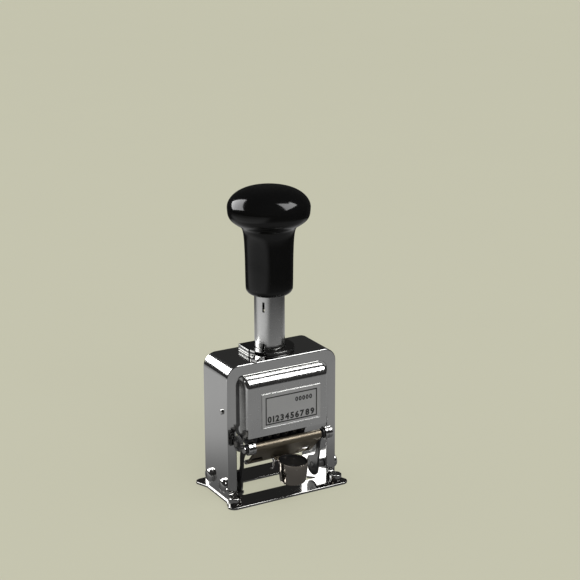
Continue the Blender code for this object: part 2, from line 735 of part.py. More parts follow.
cradleHigh = sideInner - gap
cradleLow = cradleHigh - cradleThickness
cradle = prism("wheel_cradle", sectorOutline(cradleBarInner, cradleBarOuter, cradleBarAngle, cradleBarHalf, 4),
               -cradleHigh, cradleHigh, "X", darkSteel)
for low in (-cradleHigh, cradleLow):
    join(cradle, eyeArm("cradle_cheek", cradleEye, cradleBarOuter - seat, cradleBarAngle, cradleBarHalf - seat,
                        low, low + cradleThickness, None))
setOrigin(cradle, (0, wheelY, wheelZ))

# Pawl rocker: two arms, a bar behind the wheels and one pawl to each ratchet
rockerHigh = cradleLow - gap
rocker = prism("pawl_rocker", sectorOutline(rockerBarInner, rockerBarOuter, rockerAngle, rockerHalf, 3),
               -rockerHigh, rockerHigh, "X", darkSteel)
rockerLow = rockerHigh - rockerThickness
for low in (-rockerHigh, rockerLow):
    join(rocker, eyeArm("rocker_arm", rockerEye, rockerBarOuter - seat, rockerAngle, rockerHalf - seat,
                        low, low + rockerThickness, None))
for number in range(wheelCount):
    middle = (number - wheelCount / 2) * wheelPitch + gap / 2 + wheelRim + (ratchetWidth + gap) / 2
    join(rocker, prism("pawl", sectorOutline(pawlTip, rockerBarInner + seat, rockerAngle, pawlHalf, 2),
                       middle - pawlThickness / 2, middle + pawlThickness / 2, "X", None))
setOrigin(rocker, (0, wheelY, wheelZ))

# Bracket and shaft of the movement dial, carried by the cover's left side
dialInner = dialOuter - dialThickness
bracketOuter = -dialInner + gap
coverSide = -coverHalfWidth - seat
bracketOutline = [(coverSide, bracketTop), (coverSide - bracketFoot, bracketTop), (coverSide - bracketFoot, bracketWeb),
                  (bracketOuter, bracketWeb), (bracketOuter, dialZ - bracketHalfWidth),
                  (bracketOuter + bracketThickness, dialZ - bracketHalfWidth),
                  (bracketOuter + bracketThickness, bracketWeb - bracketFoot), (coverSide, bracketWeb - bracketFoot)]
bracket = prism("dial_bracket", bracketOutline, dialY - bracketHalfWidth, dialY + bracketHalfWidth, "Y", darkSteel)
shaftProfile = [(dialShaftRadius, bracketOuter + bracketThickness / 2), (dialShaftRadius, -dialOuter - gap),
                (dialHeadRadius, -dialOuter - gap), (dialHeadRadius, -dialOuter - gap - dialHeadHeight)]
join(bracket, lathe("dial_shaft", shaftProfile, (0, dialY, dialZ), "X", 16, None))
dialLoops = [[], [], [], []]
for index in range(dialTeeth * 2):
    angle = math.pi * index / dialTeeth
    rim = dialRadius - dialToothDepth * (index % 2)
    bore = dialShaftRadius + gap
    for loop, (radius, x) in zip(dialLoops, ((bore, -dialOuter), (rim, -dialOuter), (rim, -dialInner), (bore, -dialInner))):
        loop.append(Vector((x, dialY + radius * math.cos(angle), dialZ + radius * math.sin(angle))))
dial = loopStack("movement_dial", dialLoops, darkSteel, True)
setOrigin(dial, (-dialOuter, dialY, dialZ))

# Pad arms: an S of plate from each pivot up to the rod
armWidthShares = (0.96, 0.64, 0.64, 0.82)
armRiseShares = (0.27, 0.46, 0.68, 0.85)
armBowShares = (0.05, 0.045, -0.04, -0.06)


def armOutline():
    lengthY = rodY - pivotY
    lengthZ = rodZ - pivotZ
    length = math.hypot(lengthY, lengthZ)
    alongY, alongZ = lengthY / length, lengthZ / length
    lean = math.atan2(alongZ, alongY)
    leftSide = []
    rightSide = []
    for rise, bow, wide in zip(armRiseShares, armBowShares, armWidthShares):
        y = pivotY + lengthY * rise - alongZ * length * bow
        z = pivotZ + lengthZ * rise + alongY * length * bow
        leftSide.append((y - alongZ * armEye * wide, z + alongY * armEye * wide))
        rightSide.append((y + alongZ * armEye * wide, z - alongY * armEye * wide))
    outline = arc(pivotY, pivotZ, armFoot, lean + half - 0.3, lean + 3 * half + 0.3, 12)
    outline += rightSide
    outline += arc(rodY, rodZ, armEye, lean - half, lean + half, 8)
    return outline + leftSide[::-1]


nutLength = nutCollar + nutGroove + nutThickness
leftNut = leftArmInner - seat - nutLength
rightNut = rightArmInner + armThickness + seat
for side, word, armInner, nutStart in ((-1, "left", leftArmInner, leftNut), (1, "right", rightArmInner, rightNut)):
    edges = sorted((side * armInner, side * (armInner + armThickness)))
    arm = prism("pad_arm_" + word, armOutline(), edges[0], edges[1], "X", darkSteel)
    cut(arm, rod("arm_bore", (0, pivotY, pivotZ), "X", pivotPinRadius + gap, edges[0] - overrun,
                 edges[1] + overrun, 20, None))
    cut(arm, rod("arm_eye", (0, rodY, rodZ), "X", rodRadius + seat, edges[0] - overrun, edges[1] + overrun, 20, None))
    setOrigin(arm, (edges[0], pivotY, pivotZ))
    # Round nut with a narrow collar, a groove between them
    boreEdge = rodRadius + seat
    nutFace = nutStart + nutCollar + nutGroove
    spots = [(boreEdge, nutStart), (nutRadius, nutStart), (nutRadius, nutStart + nutCollar),
             (nutGrooveRadius, nutStart + nutCollar), (nutGrooveRadius, nutFace), (nutRadius, nutFace),
             (nutRadius, nutStart + nutLength), (boreEdge, nutStart + nutLength)]
    spots = [(radius, side * x) for radius, x in spots]
    nut = lathe("rod_nut_" + word, spots, (0, rodY, rodZ), "X", 32, chrome, True)
    setOrigin(nut, (side * nutStart, rodY, rodZ))
rodProfile = []
for start, length, side in ((leftArmInner + armThickness + seat, leftCapLength, -1),
                            (rightNut + nutLength + seat, rightCapLength, 1)):
    shares = ((0.5, 1.0), (0.86, 0.8), (1.0, 0.45), (1.0, 0.0))
    spots = [(endCapRadius * wide, side * (start + length * deep)) for wide, deep in shares]
    spots.append((rodRadius, side * start))
    rodProfile += spots if side < 0 else spots[::-1]
padRod = lathe("pad_rod", rodProfile, (0, rodY, rodZ), "X", 20, chrome)
setOrigin(padRod, (0, rodY, rodZ))


# A place on the tray: along its slope from the rod, and out of its plane toward the wheels
def trayPlace(along, out):
    return (rodY + slopeY * along - slopeZ * out, rodZ + slopeZ * along + slopeY * out)


# Prism across the tray; its outline is given on the slope
def traySlab(name, corners, reach, material):
    return prism(name, [trayPlace(along, out) for along, out in corners], -reach, reach, "X", material)


# The plate is one flat sheet whose front face touches the hem round the rod and the rolled lip
halfPlate = trayThickness / 2


def plateFront(along):
    return (trayHem - lipRadius) * along / slopeLength - trayHem


def plateRear(along):
    return plateFront(along) + trayThickness


plateCorners = [(0, plateFront(0)), (slopeLength, plateFront(slopeLength)),
                (slopeLength, plateRear(slopeLength)), (0, plateRear(0))]
tray = traySlab("pad_tray", plateCorners, trayHalfWidth, chrome)
join(tray, rod("tray_hem", (0, rodY, rodZ), "X", trayHem, -trayHalfWidth, trayHalfWidth, 24, None))
cut(tray, rod("tray_bore", (0, rodY, rodZ), "X", rodRadius + gap, -halfWidth, halfWidth, 24, None))
lipEnd = rightArmInner - gap
lipProfile = [(lipRadius * 0.5, -lipEnd), (lipRadius, lipRadius / 2 - lipEnd)]
lipProfile += [(radius, -x) for radius, x in reversed(lipProfile)]
join(tray, lathe("tray_lip", lipProfile, (0, lipY, lipZ), "X", 16, None))
cupBack = cupY + cupHalfDepth
tongueEnd = cupBack + gap
join(tray, box("tray_tongue", (-tongueHalfWidth, tongueEnd, lipZ - tongueThickness / 2),
               (tongueHalfWidth, lipY, lipZ + tongueThickness / 2), None))
for side in (-1, 1):
    corners = ((trayWindowInner + trayWindowSlant, trayWindowTop), (trayWindowOuter, trayWindowTop),
               (trayWindowOuter, trayWindowBottom), (trayWindowInner, trayWindowBottom))
    work = bmesh.new()
    rows = []
    for out in (-trayHem - overrun, halfPlate + trayThickness):
        places = [trayPlace(along, out) for x, along in corners]
        rows.append([work.verts.new((side * x + trayWindowShift, y, z)) for (x, along), (y, z) in zip(corners, places)])
    work.faces.new(rows[0])
    work.faces.new(rows[1])
    for index in range(4):
        after = (index + 1) % 4
        work.faces.new((rows[0][index], rows[0][after], rows[1][after], rows[1][index]))
    cut(tray, addObject("tray_window", work, None))
setOrigin(tray, (0, rodY, rodZ))

# Felt pad on the tray's upper face
padCorners = [(padStart, plateRear(padStart) + seat), (padEnd, plateRear(padEnd) + seat),
              (padEnd, plateRear(padEnd) + padThickness), (padStart, plateRear(padStart) + padThickness)]
pad = traySlab("ink_pad", padCorners, padHalfWidth, blackFelt)
setOrigin(pad, (0, rodY, rodZ))

# Thumb cup: stacked ellipses with a shallow dish on top
cupShares = ((0.8, 0.68, 0.0, 0.06), (0.91, 0.79, 0.06, 0.05), (0.95, 0.86, 0.22, 0.03), (0.975, 0.93, 0.5, 0.01),
             (1.0, 0.98, 0.8, 0.0), (1.0, 1.0, 0.94, 0.0), (0.96, 0.965, 1.0, 0.0), (0.9, 0.92, 1.0, 0.0))
cupLoops = []
for wide, deep, high, back in cupShares:
    level = cupBottom + (cupTop - cupBottom) * high
    cupLoops.append([Vector((cupHalfWidth * wide * math.cos(2 * math.pi * step / 32),
                             cupY + cupHalfDepth * (back + deep * math.sin(2 * math.pi * step / 32)), level))
                     for step in range(32)])
cupLoops.append([Vector((cupHalfWidth * 0.75 * math.cos(2 * math.pi * step / 32),
                         cupY + cupHalfDepth * 0.78 * math.sin(2 * math.pi * step / 32), cupTop - cupDish))
                 for step in range(32)])
cup = loopStack("thumb_cup", cupLoops, chrome)
setOrigin(cup, (0, rodY, rodZ))

# Catch wire under the tray, left of the cup
startY, startZ = trayPlace(padEnd, plateFront(padEnd) - gap - catchWire)
wirePlaces = [(catchX, startY, startZ), (catchX, startY - catchForward, startZ - catchDrop / 5),
              (catchX, startY - catchForward, startZ - catchDrop),
              (catchX - catchHook / 3, startY - catchForward, startZ - catchDrop - catchHook / 3),
              (catchX - catchHook, startY - catchForward, startZ - catchDrop)]
curve = bpy.data.curves.new("pad_catch", "CURVE")
curve.dimensions = "3D"
curve.bevel_depth = catchWire
curve.bevel_resolution = 1
curve.use_fill_caps = True
spline = curve.splines.new("POLY")
spline.points.add(len(wirePlaces) - 1)
for index, place in enumerate(wirePlaces):
    spline.points[index].co = (*place, 1)
catch = bpy.data.objects.new("pad_catch", curve)
curve.materials.append(chrome)
mainCollection.objects.link(catch)

# The origin goes to the middle of the part's outline on the table
middleY = (knobRadius + cupY - cupHalfDepth) / 2
for made in bpy.data.objects:
    made.location.y -= middleY
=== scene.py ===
import math

import bmesh
import bpy
import numpy as np
from mathutils import Matrix, Vector


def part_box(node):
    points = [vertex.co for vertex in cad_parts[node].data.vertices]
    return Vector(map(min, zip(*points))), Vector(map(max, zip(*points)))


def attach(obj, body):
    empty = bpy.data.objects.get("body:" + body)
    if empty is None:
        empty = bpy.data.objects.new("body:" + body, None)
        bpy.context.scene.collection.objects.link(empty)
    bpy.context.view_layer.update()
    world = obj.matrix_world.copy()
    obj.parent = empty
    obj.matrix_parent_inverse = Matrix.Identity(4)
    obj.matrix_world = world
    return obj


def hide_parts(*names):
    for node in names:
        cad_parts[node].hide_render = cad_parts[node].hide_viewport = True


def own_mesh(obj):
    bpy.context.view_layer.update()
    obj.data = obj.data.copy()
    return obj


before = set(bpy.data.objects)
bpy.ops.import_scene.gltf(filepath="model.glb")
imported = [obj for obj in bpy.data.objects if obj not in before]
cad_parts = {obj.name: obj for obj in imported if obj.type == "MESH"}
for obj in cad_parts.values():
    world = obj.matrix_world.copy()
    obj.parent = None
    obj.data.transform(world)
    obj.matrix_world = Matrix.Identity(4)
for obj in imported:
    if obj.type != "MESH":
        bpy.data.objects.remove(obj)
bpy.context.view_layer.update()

mm = 0.001
tubeLow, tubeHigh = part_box("plunger_tube")
axisPlace = np.array([0.0, (tubeLow.y + tubeHigh.y) / 2, 0.0])
quarter = math.pi / 2

# Steps round a corner and round a plate's rim, and the degrees from which a fold counts as an edge
meshDetail = dict(corner=5, rim=4, sharp=35)
# Ways that a flat outline can stand: its two directions and the one it is pushed through
alongX = np.array([[0.0, 1, 0], [0, 0, 1], [1, 0, 0]])
alongY = np.array([[1.0, 0, 0], [0, 0, 1], [0, 1, 0]])
alongZ = np.eye(3)
print("numbering machine: frame loaded")


# Points of an arc about (a, b), its angles in radians
def arc(a, b, radius, start, end, steps):
    turn = np.linspace(start, end, steps + 1)
    return np.stack([a + radius * np.cos(turn), b + radius * np.sin(turn)], 1)


def rectangle(left, right, low, high):
    return np.array([(left, low), (right, low), (right, high), (left, high)], float)


# Quads between neighbouring rows and columns of a grid of points
def gridFaces(rows, cols, closedRows, closedCols):
    r = np.arange(rows if closedRows else rows - 1)[:, None]
    c = np.arange(cols if closedCols else cols - 1)[None, :]
    nextR = (r + 1) % rows
    nextC = (c + 1) % cols
    corners = (r * cols + c, r * cols + nextC, nextR * cols + nextC, nextR * cols + c)
    return np.stack(np.broadcast_arrays(*corners), -1).reshape(-1, 4).tolist()


# A grid of points as a shell: (points, faces), with flat ends where asked
def skin(grid, closedRows=False, closedCols=True, ends=""):
    rows, cols = grid.shape[:2]
    faces = gridFaces(rows, cols, closedRows, closedCols)
    if "first" in ends:
        faces.append(list(range(cols))[::-1])
    if "last" in ends:
        faces.append(list(range((rows - 1) * cols, rows * cols)))
    return grid.reshape(-1, 3), faces


# Several shells as one
def together(*shells):
    starts = np.cumsum([0] + [len(points) for points, faces in shells])
    faces = [[corner + int(start) for corner in face]
             for start, (points, many) in zip(starts, shells) for face in many]
    return np.concatenate([points for points, many in shells]), faces


# Each corner P between A and C becomes (1-t)^2 A + 2t(1-t) P + t^2 C, with A and C at radius from P
def roundCorners(points, radius, closed=True):
    points = np.asarray(points, float)
    before = np.roll(points, 1, 0)
    after = np.roll(points, -1, 0)
    reachA = np.linalg.norm(before - points, axis=1, keepdims=True)
    reachC = np.linalg.norm(after - points, axis=1, keepdims=True)
    size = np.broadcast_to(np.asarray(radius, float).reshape(-1, 1), reachA.shape)
    longest = 0.42  # most of a side that one corner may take
    cutA = np.minimum(size, reachA * longest)
    cutC = np.minimum(size, reachC * longest)
    a = points + (before - points) / reachA * cutA
    c = points + (after - points) / reachC * cutC
    far = 1.15  # one more point just past each end keeps the flat faces flat
    t = np.linspace(0, 1, meshDetail["corner"] + 1)[None, :, None]
    curve = (1 - t) ** 2 * a[:, None] + 2 * t * (1 - t) * points[:, None] + t ** 2 * c[:, None]
    first = (points + (a - points) * far)[:, None]
    last = (points + (c - points) * far)[:, None]
    made = np.concatenate([first, curve, last], 1)
    if closed:
        return made.reshape(-1, points.shape[1])
    return np.concatenate([points[:1], made[1:-1].reshape(-1, points.shape[1]), points[-1:]])


# Smooth curve through the points: a cubic between each pair whose slopes are half the neighbours' distance
def smoothCurve(points, count):
    points = np.asarray(points, float)
    slope = np.gradient(points, axis=0)
    place = np.linspace(0, len(points) - 1, count)
    index = np.minimum(place.astype(int), len(points) - 2)
    t = (place - index)[:, None]
    return ((2 * t ** 3 - 3 * t ** 2 + 1) * points[index] + (t ** 3 - 2 * t ** 2 + t) * slope[index]
            + (3 * t ** 2 - 2 * t ** 3) * points[index + 1] + (t ** 3 - t ** 2) * slope[index + 1])


# Outline turned the way that keeps its inside on the left
def leftHanded(outline):
    outline = np.asarray(outline, float)
    x, y = outline.T
    area = np.sum(x * np.roll(y, -1) - np.roll(x, -1) * y)
    return outline if area > 0 else outline[::-1]


# Inward direction at each corner, long enough that both sides move in by one
def mitres(outline):
    step = np.roll(outline, -1, 0) - outline
    step = step / np.linalg.norm(step, axis=1, keepdims=True)
    normal = np.stack([-step[:, 1], step[:, 0]], 1)
    previous = np.roll(normal, 1, 0)
    return (normal + previous) / (1 + np.sum(normal * previous, 1, keepdims=True))


# Rounded rim of a plate: how far in and how high each loop lies, from the lower face to the upper
def rimProfile(low, high, edge, steps):
    edge = min(edge, (high - low) * 0.38)  # the two roundings never meet
    bend = np.linspace(0, quarter, steps + 1)
    support = edge * 0.25
    inset = np.concatenate([[edge + support], edge * (1 - np.sin(bend)), [0.0]])
    rise = np.concatenate([[0.0], edge * (1 - np.cos(bend)), [edge + support]])
    return (np.concatenate([inset, inset[::-1]]), np.concatenate([low + rise, (high - rise)[::-1]]))


# Plate: the outline at each height, moved in by the rim's quarter circles, with flat faces
def slab(outline, low, high, edge, basis, origin=(0, 0, 0)):
    outline = leftHanded(outline)
    inward = mitres(outline)
    inset, height = rimProfile(low, high, edge, meshDetail["rim"])
    flat = outline[None] + inward[None] * inset[:, None, None]
    grid = np.concatenate([flat, np.broadcast_to(height[:, None, None], flat.shape[:2] + (1,))], 2)
    return skin(grid @ basis + np.asarray(origin, float), ends="first last")


# Outline read at given angles round a centre
def byAngle(outline, centre, angles):
    outline = leftHanded(outline)
    step = np.linspace(0, 1, 24, endpoint=False)[None, :, None]
    dense = (outline[:, None] * (1 - step) + np.roll(outline, -1, 0)[:, None] * step).reshape(-1, 2)
    turn = np.arctan2(dense[:, 1] - centre[1], dense[:, 0] - centre[0])
    return np.stack([np.interp(angles, turn, dense[:, axis], period=2 * math.pi) for axis in (0, 1)], 1)


# Plate with a hole: outer and inner outlines matched by their angle round a centre, both rims rounded
def ringSlab(outer, inner, low, high, edge, basis, centre=(0, 0), count=240, steps=4):
    corners = np.concatenate([np.asarray(outer, float), np.asarray(inner, float)]) - np.asarray(centre, float)
    whole = 2 * math.pi
    even = np.linspace(0, whole, count + 1)[:-1]
    angles = np.concatenate([np.arctan2(corners[:, 1], corners[:, 0]), even])
    angles = np.unique(np.round(np.remainder(angles, whole), 3))
    angles = angles[angles < whole - 0.002]  # an angle of almost a whole turn falls on the first
    inset, height = rimProfile(low, high, edge, steps)
    rows = []
    for outline, way in ((outer, 1), (inner, -1)):
        loop = byAngle(outline, centre, angles)
        flat = loop[None] + way * mitres(loop)[None] * inset[:, None, None]
        rise = np.broadcast_to(height[:, None, None], flat.shape[:2] + (1,))
        rows.append(np.concatenate([flat, rise], 2))
    grid = np.concatenate([rows[0], rows[1][::-1]])
    return skin(grid @ basis, closedRows=True)


# Turned shape: (radius, along) carried round the axis; the radius may be a table by row and angle
def turned(radius, along, segments, basis, origin=(0, 0, 0), closed=False):
    turn = np.linspace(0, 2 * math.pi, segments, endpoint=False)[None, :]
    radius = np.asarray(radius, float)
    radius = radius[:, None] if radius.ndim == 1 else radius
    along = np.asarray(along, float)[:, None]
    grid = np.stack(np.broadcast_arrays(radius * np.cos(turn), radius * np.sin(turn), along), 2)
    ends = "" if closed else "first last"
    return skin(grid @ basis + np.asarray(origin, float), closedRows=closed, ends=ends)


def turnedProfile(profile, segments, basis, origin=(0, 0, 0), closed=False):
    profile = np.asarray(profile, float)
    return turned(profile[:, 0], profile[:, 1], segments, basis, origin, closed)


# Round wire: a circle carried square to a path, level with a chosen side direction and thinner at both tips
def wire(path, radius, segments, side, tipShare=0.55):
    path = np.asarray(path, float)
    ahead = np.gradient(path, axis=0)
    ahead /= np.linalg.norm(ahead, axis=1, keepdims=True)
    side = np.broadcast_to(np.asarray(side, float), path.shape)
    first = side - ahead * np.sum(side * ahead, 1, keepdims=True)
    first /= np.linalg.norm(first, axis=1, keepdims=True)
    second = np.cross(ahead, first)
    turn = np.linspace(0, 2 * math.pi, segments, endpoint=False)[None, :, None]
    reach = np.full(len(path), float(radius))
    reach[[0, -1]] = radius * tipShare
    around = np.cos(turn) * first[:, None] + np.sin(turn) * second[:, None]
    return skin(path[:, None] + reach[:, None, None] * around, ends="first last")


# Copies of one flat figure, made from Blender's own letters, as points centred on the origin
def figureShell(words, height, thick, bold=0.0):
    curve = bpy.data.curves.new("figureCurve", "FONT")
    curve.body = words
    curve.size = height
    curve.extrude = thick / 2
    curve.resolution_u = 3
    curve.offset = height * bold
    holder = bpy.data.objects.new("figureHolder", curve)
    bpy.context.scene.collection.objects.link(holder)
    mesh = bpy.data.meshes.new_from_object(holder.evaluated_get(bpy.context.evaluated_depsgraph_get()))
    points = np.zeros(len(mesh.vertices) * 3)
    mesh.vertices.foreach_get("co", points)
    faces = [list(face.vertices) for face in mesh.polygons]
    bpy.data.objects.remove(holder)
    bpy.data.curves.remove(curve)
    bpy.data.meshes.remove(mesh)
    points = points.reshape(-1, 3)
    low, high = points.min(0), points.max(0)
    return points - (low + high) / 2, faces


# Mesh in metres from a shell in millimetres
def makeMesh(name, shell, closed=True):
    points, faces = shell
    mesh = bpy.data.meshes.new(name)
    mesh.from_pydata((points * mm + axisPlace).tolist(), [], faces)
    work = bmesh.new()
    work.from_mesh(mesh)
    bmesh.ops.remove_doubles(work, verts=work.verts, dist=mm * 0.002)
    bmesh.ops.dissolve_degenerate(work, edges=work.edges, dist=mm * 0.0005)
    if closed:
        bmesh.ops.recalc_face_normals(work, faces=work.faces)
    work.to_mesh(mesh)
    work.free()
    return mesh


# A finished piece: its mesh, cuts through it, its material, the body it rides on and what it stands for
def makePiece(name, shell, material, body, nodes=(), cuts=(), closed=True, wall=0):
    mesh = makeMesh(name, shell, closed)
    piece = bpy.data.objects.new(name, mesh)
    bpy.context.scene.collection.objects.link(piece)
    tools = []
    if wall:
        thicken = piece.modifiers.new("wall", "SOLIDIFY")
        thicken.thickness = wall * mm
        thicken.offset = -1
        thicken.use_even_offset = True
    for number, cut in enumerate(cuts):
        tool = bpy.data.objects.new(name + "_cut", makeMesh(name + "_cut", cut))
        bpy.context.scene.collection.objects.link(tool)
        tools.append(tool)
        hole = piece.modifiers.new("cut", "BOOLEAN")
        hole.operation = "DIFFERENCE"
        hole.solver = "EXACT"
        hole.object = tool
    if piece.modifiers:
        bpy.context.view_layer.update()
        baked = bpy.data.meshes.new_from_object(piece.evaluated_get(bpy.context.evaluated_depsgraph_get()))
        piece.modifiers.clear()
        piece.data = baked
        bpy.data.meshes.remove(mesh)
        for tool in tools:
            bpy.data.objects.remove(tool)
        mesh = baked
        mesh.name = name
    mesh.polygons.foreach_set("use_smooth", np.ones(len(mesh.polygons), bool))
    mesh.set_sharp_from_angle(angle=math.radians(meshDetail["sharp"]))
    mesh.materials.clear()
    mesh.materials.append(material)
    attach(piece, body)
    if nodes:
        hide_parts(*nodes)
    return piece


# Adds a node and fills its plain values
def addNode(tree, kind, **values):
    node = tree.nodes.new(kind)
    for name, value in values.items():
        if hasattr(node, name):
            setattr(node, name, value)
        else:
            node.inputs[name.replace("_", " ")].default_value = value
    return node


# Maps a socket from the span start to end onto first to last, evenly or with soft ends
def ramp(tree, socket, start, end, first=0.0, last=1.0, kind="LINEAR"):
    node = addNode(tree, "ShaderNodeMapRange", interpolation_type=kind)
    for label, value in (("From Min", start), ("From Max", end), ("To Min", first), ("To Max", last)):
        node.inputs[label].default_value = value
    tree.links.new(socket, node.inputs["Value"])
    return node.outputs[0]


# Sum or product of two sockets
def reckon(tree, operation, first, second):
    node = addNode(tree, "ShaderNodeMath", operation=operation)
    tree.links.new(first, node.inputs[0])
    tree.links.new(second, node.inputs[1])
    return node.outputs[0]


# Colour between two, by the share that a socket gives
def tones(tree, share, first, second):
    node = addNode(tree, "ShaderNodeMix", data_type="RGBA")
    node.inputs["A"].default_value = (*first, 1)
    node.inputs["B"].default_value = (*second, 1)
    tree.links.new(share, node.inputs["Factor"])
    return node.outputs["Result"]


def newGroup(name, inputs, outputs):
    tree = bpy.data.node_groups.new(name, "ShaderNodeTree")
    for label, kind, value in inputs:
        made = tree.interface.new_socket(name=label, in_out="INPUT", socket_type=kind)
        if value is not None:
            made.default_value = value
    for label, kind in outputs:
        tree.interface.new_socket(name=label, in_out="OUTPUT", socket_type=kind)
    return tree, tree.nodes.new("NodeGroupInput"), tree.nodes.new("NodeGroupOutput")


# Fine lines of a brushed or ground face: noise squeezed across the lines
def makeGrainGroup():
    tree, given, out = newGroup("machinedGrain", (("Vector", "NodeSocketVector", None),
                                                  ("Stretch", "NodeSocketVector", (1, 1, 1)),
                                                  ("Scale", "NodeSocketFloat", 900.0)),
                                (("Grain", "NodeSocketFloat"), ("Cloud", "NodeSocketFloat")))
    squeeze = addNode(tree, "ShaderNodeVectorMath", operation="MULTIPLY")
    tree.links.new(given.outputs["Vector"], squeeze.inputs[0])
    tree.links.new(given.outputs["Stretch"], squeeze.inputs[1])
    lines = addNode(tree, "ShaderNodeTexNoise", Detail=3.0, Roughness=0.65)
    tree.links.new(squeeze.outputs[0], lines.inputs["Vector"])
    tree.links.new(given.outputs["Scale"], lines.inputs["Scale"])
    cloud = addNode(tree, "ShaderNodeTexNoise", Scale=45.0, Detail=3.0)
    tree.links.new(given.outputs["Vector"], cloud.inputs["Vector"])
    tree.links.new(lines.outputs["Fac"], out.inputs["Grain"])
    tree.links.new(cloud.outputs["Fac"], out.inputs["Cloud"])
    return tree


# Marks of handling: soft smudges and a few specks of dust
def makeHandlingGroup():
    tree, given, out = newGroup("handlingMarks", (("Vector", "NodeSocketVector", None),
                                                  ("Smudge Scale", "NodeSocketFloat", 70.0),
                                                  ("Speck Scale", "NodeSocketFloat", 1500.0)),
                                (("Smudge", "NodeSocketFloat"), ("Speck", "NodeSocketFloat")))
    broad = addNode(tree, "ShaderNodeTexNoise", Detail=4.0, Roughness=0.6, Distortion=0.8)
    tree.links.new(given.outputs["Vector"], broad.inputs["Vector"])
    tree.links.new(given.outputs["Smudge Scale"], broad.inputs["Scale"])
    smudge = ramp(tree, broad.outputs["Fac"], 0.46, 0.68)
    fine = addNode(tree, "ShaderNodeTexNoise", Detail=1.0)
    tree.links.new(given.outputs["Vector"], fine.inputs["Vector"])
    tree.links.new(given.outputs["Speck Scale"], fine.inputs["Scale"])
    speck = ramp(tree, fine.outputs["Fac"], 0.7, 0.76)
    tree.links.new(smudge, out.inputs["Smudge"])
    tree.links.new(speck, out.inputs["Speck"])
    return tree


# Worn edges: the sharper parts of the mesh, broken up by noise
def makeWearGroup():
    tree, given, out = newGroup("wornEdges", (("Vector", "NodeSocketVector", None),
                                              ("Amount", "NodeSocketFloat", 0.5)),
                                (("Worn", "NodeSocketFloat"),))
    shape = addNode(tree, "ShaderNodeNewGeometry")
    edge = ramp(tree, shape.outputs["Pointiness"], 0.52, 0.62)
    patch = addNode(tree, "ShaderNodeTexNoise", Scale=420.0, Detail=4.0, Roughness=0.7)
    tree.links.new(given.outputs["Vector"], patch.inputs["Vector"])
    both = reckon(tree, "MULTIPLY", edge, patch.outputs["Fac"])
    tree.links.new(reckon(tree, "MULTIPLY", both, given.outputs["Amount"]), out.inputs["Worn"])
    return tree


grainGroup = makeGrainGroup()
handlingGroup = makeHandlingGroup()
wearGroup = makeWearGroup()


# Metal or plastic with grain, handling marks and worn edges
def makeFinish(name, look):
    material = bpy.data.materials.new(name)
    material.use_nodes = True
    tree = material.node_tree
    link = tree.links.new
    shader = tree.nodes["Principled BSDF"]
    shader.inputs["Metallic"].default_value = look["metallic"]
    shader.inputs["Coat Weight"].default_value = look.get("coat", 0.0)
    shader.inputs["Coat Roughness"].default_value = look.get("coatRoughness", 0.03)
    shader.inputs["IOR"].default_value = look.get("ior", 1.5)
    place = addNode(tree, "ShaderNodeTexCoord")
    grain = addNode(tree, "ShaderNodeGroup", node_tree=grainGroup)
    grain.inputs["Stretch"].default_value = look["stretch"]
    grain.inputs["Scale"].default_value = look["grainScale"]
    marks = addNode(tree, "ShaderNodeGroup", node_tree=handlingGroup)
    marks.inputs["Smudge Scale"].default_value = look.get("smudgeScale", 70.0)
    worn = addNode(tree, "ShaderNodeGroup", node_tree=wearGroup)
    worn.inputs["Amount"].default_value = look.get("wear", 0.3)
    for group in (grain, marks, worn):
        link(place.outputs["Object"], group.inputs["Vector"])
    wornTone = addNode(tree, "ShaderNodeMix", data_type="RGBA")
    wornTone.inputs["B"].default_value = (*look["wornColour"], 1)
    link(worn.outputs["Worn"], wornTone.inputs["Factor"])
    link(tones(tree, grain.outputs["Cloud"], look["colour"], look["shade"]), wornTone.inputs["A"])
    link(wornTone.outputs["Result"], shader.inputs["Base Color"])
    fromGrain = ramp(tree, grain.outputs["Grain"], 0.0, 1.0, look["roughness"] - look["roughSpread"],
                     look["roughness"] + look["roughSpread"])
    smudged = addNode(tree, "ShaderNodeMath", operation="MULTIPLY_ADD")
    smudged.inputs[1].default_value = look["smudge"]
    link(marks.outputs["Smudge"], smudged.inputs[0])
    link(fromGrain, smudged.inputs[2])
    dusty = addNode(tree, "ShaderNodeMath", operation="MULTIPLY_ADD", use_clamp=True)
    dusty.inputs[1].default_value = look.get("dust", 0.15)
    link(marks.outputs["Speck"], dusty.inputs[0])
    link(smudged.outputs[0], dusty.inputs[2])
    link(dusty.outputs[0], shader.inputs["Roughness"])
    bump = addNode(tree, "ShaderNodeBump")
    bump.inputs["Strength"].default_value = look["bump"]
    bump.inputs["Distance"].default_value = look.get("bumpDepth", 0.02) * mm
    link(grain.outputs["Grain"], bump.inputs["Height"])
    link(bump.outputs["Normal"], shader.inputs["Normal"])
    return material


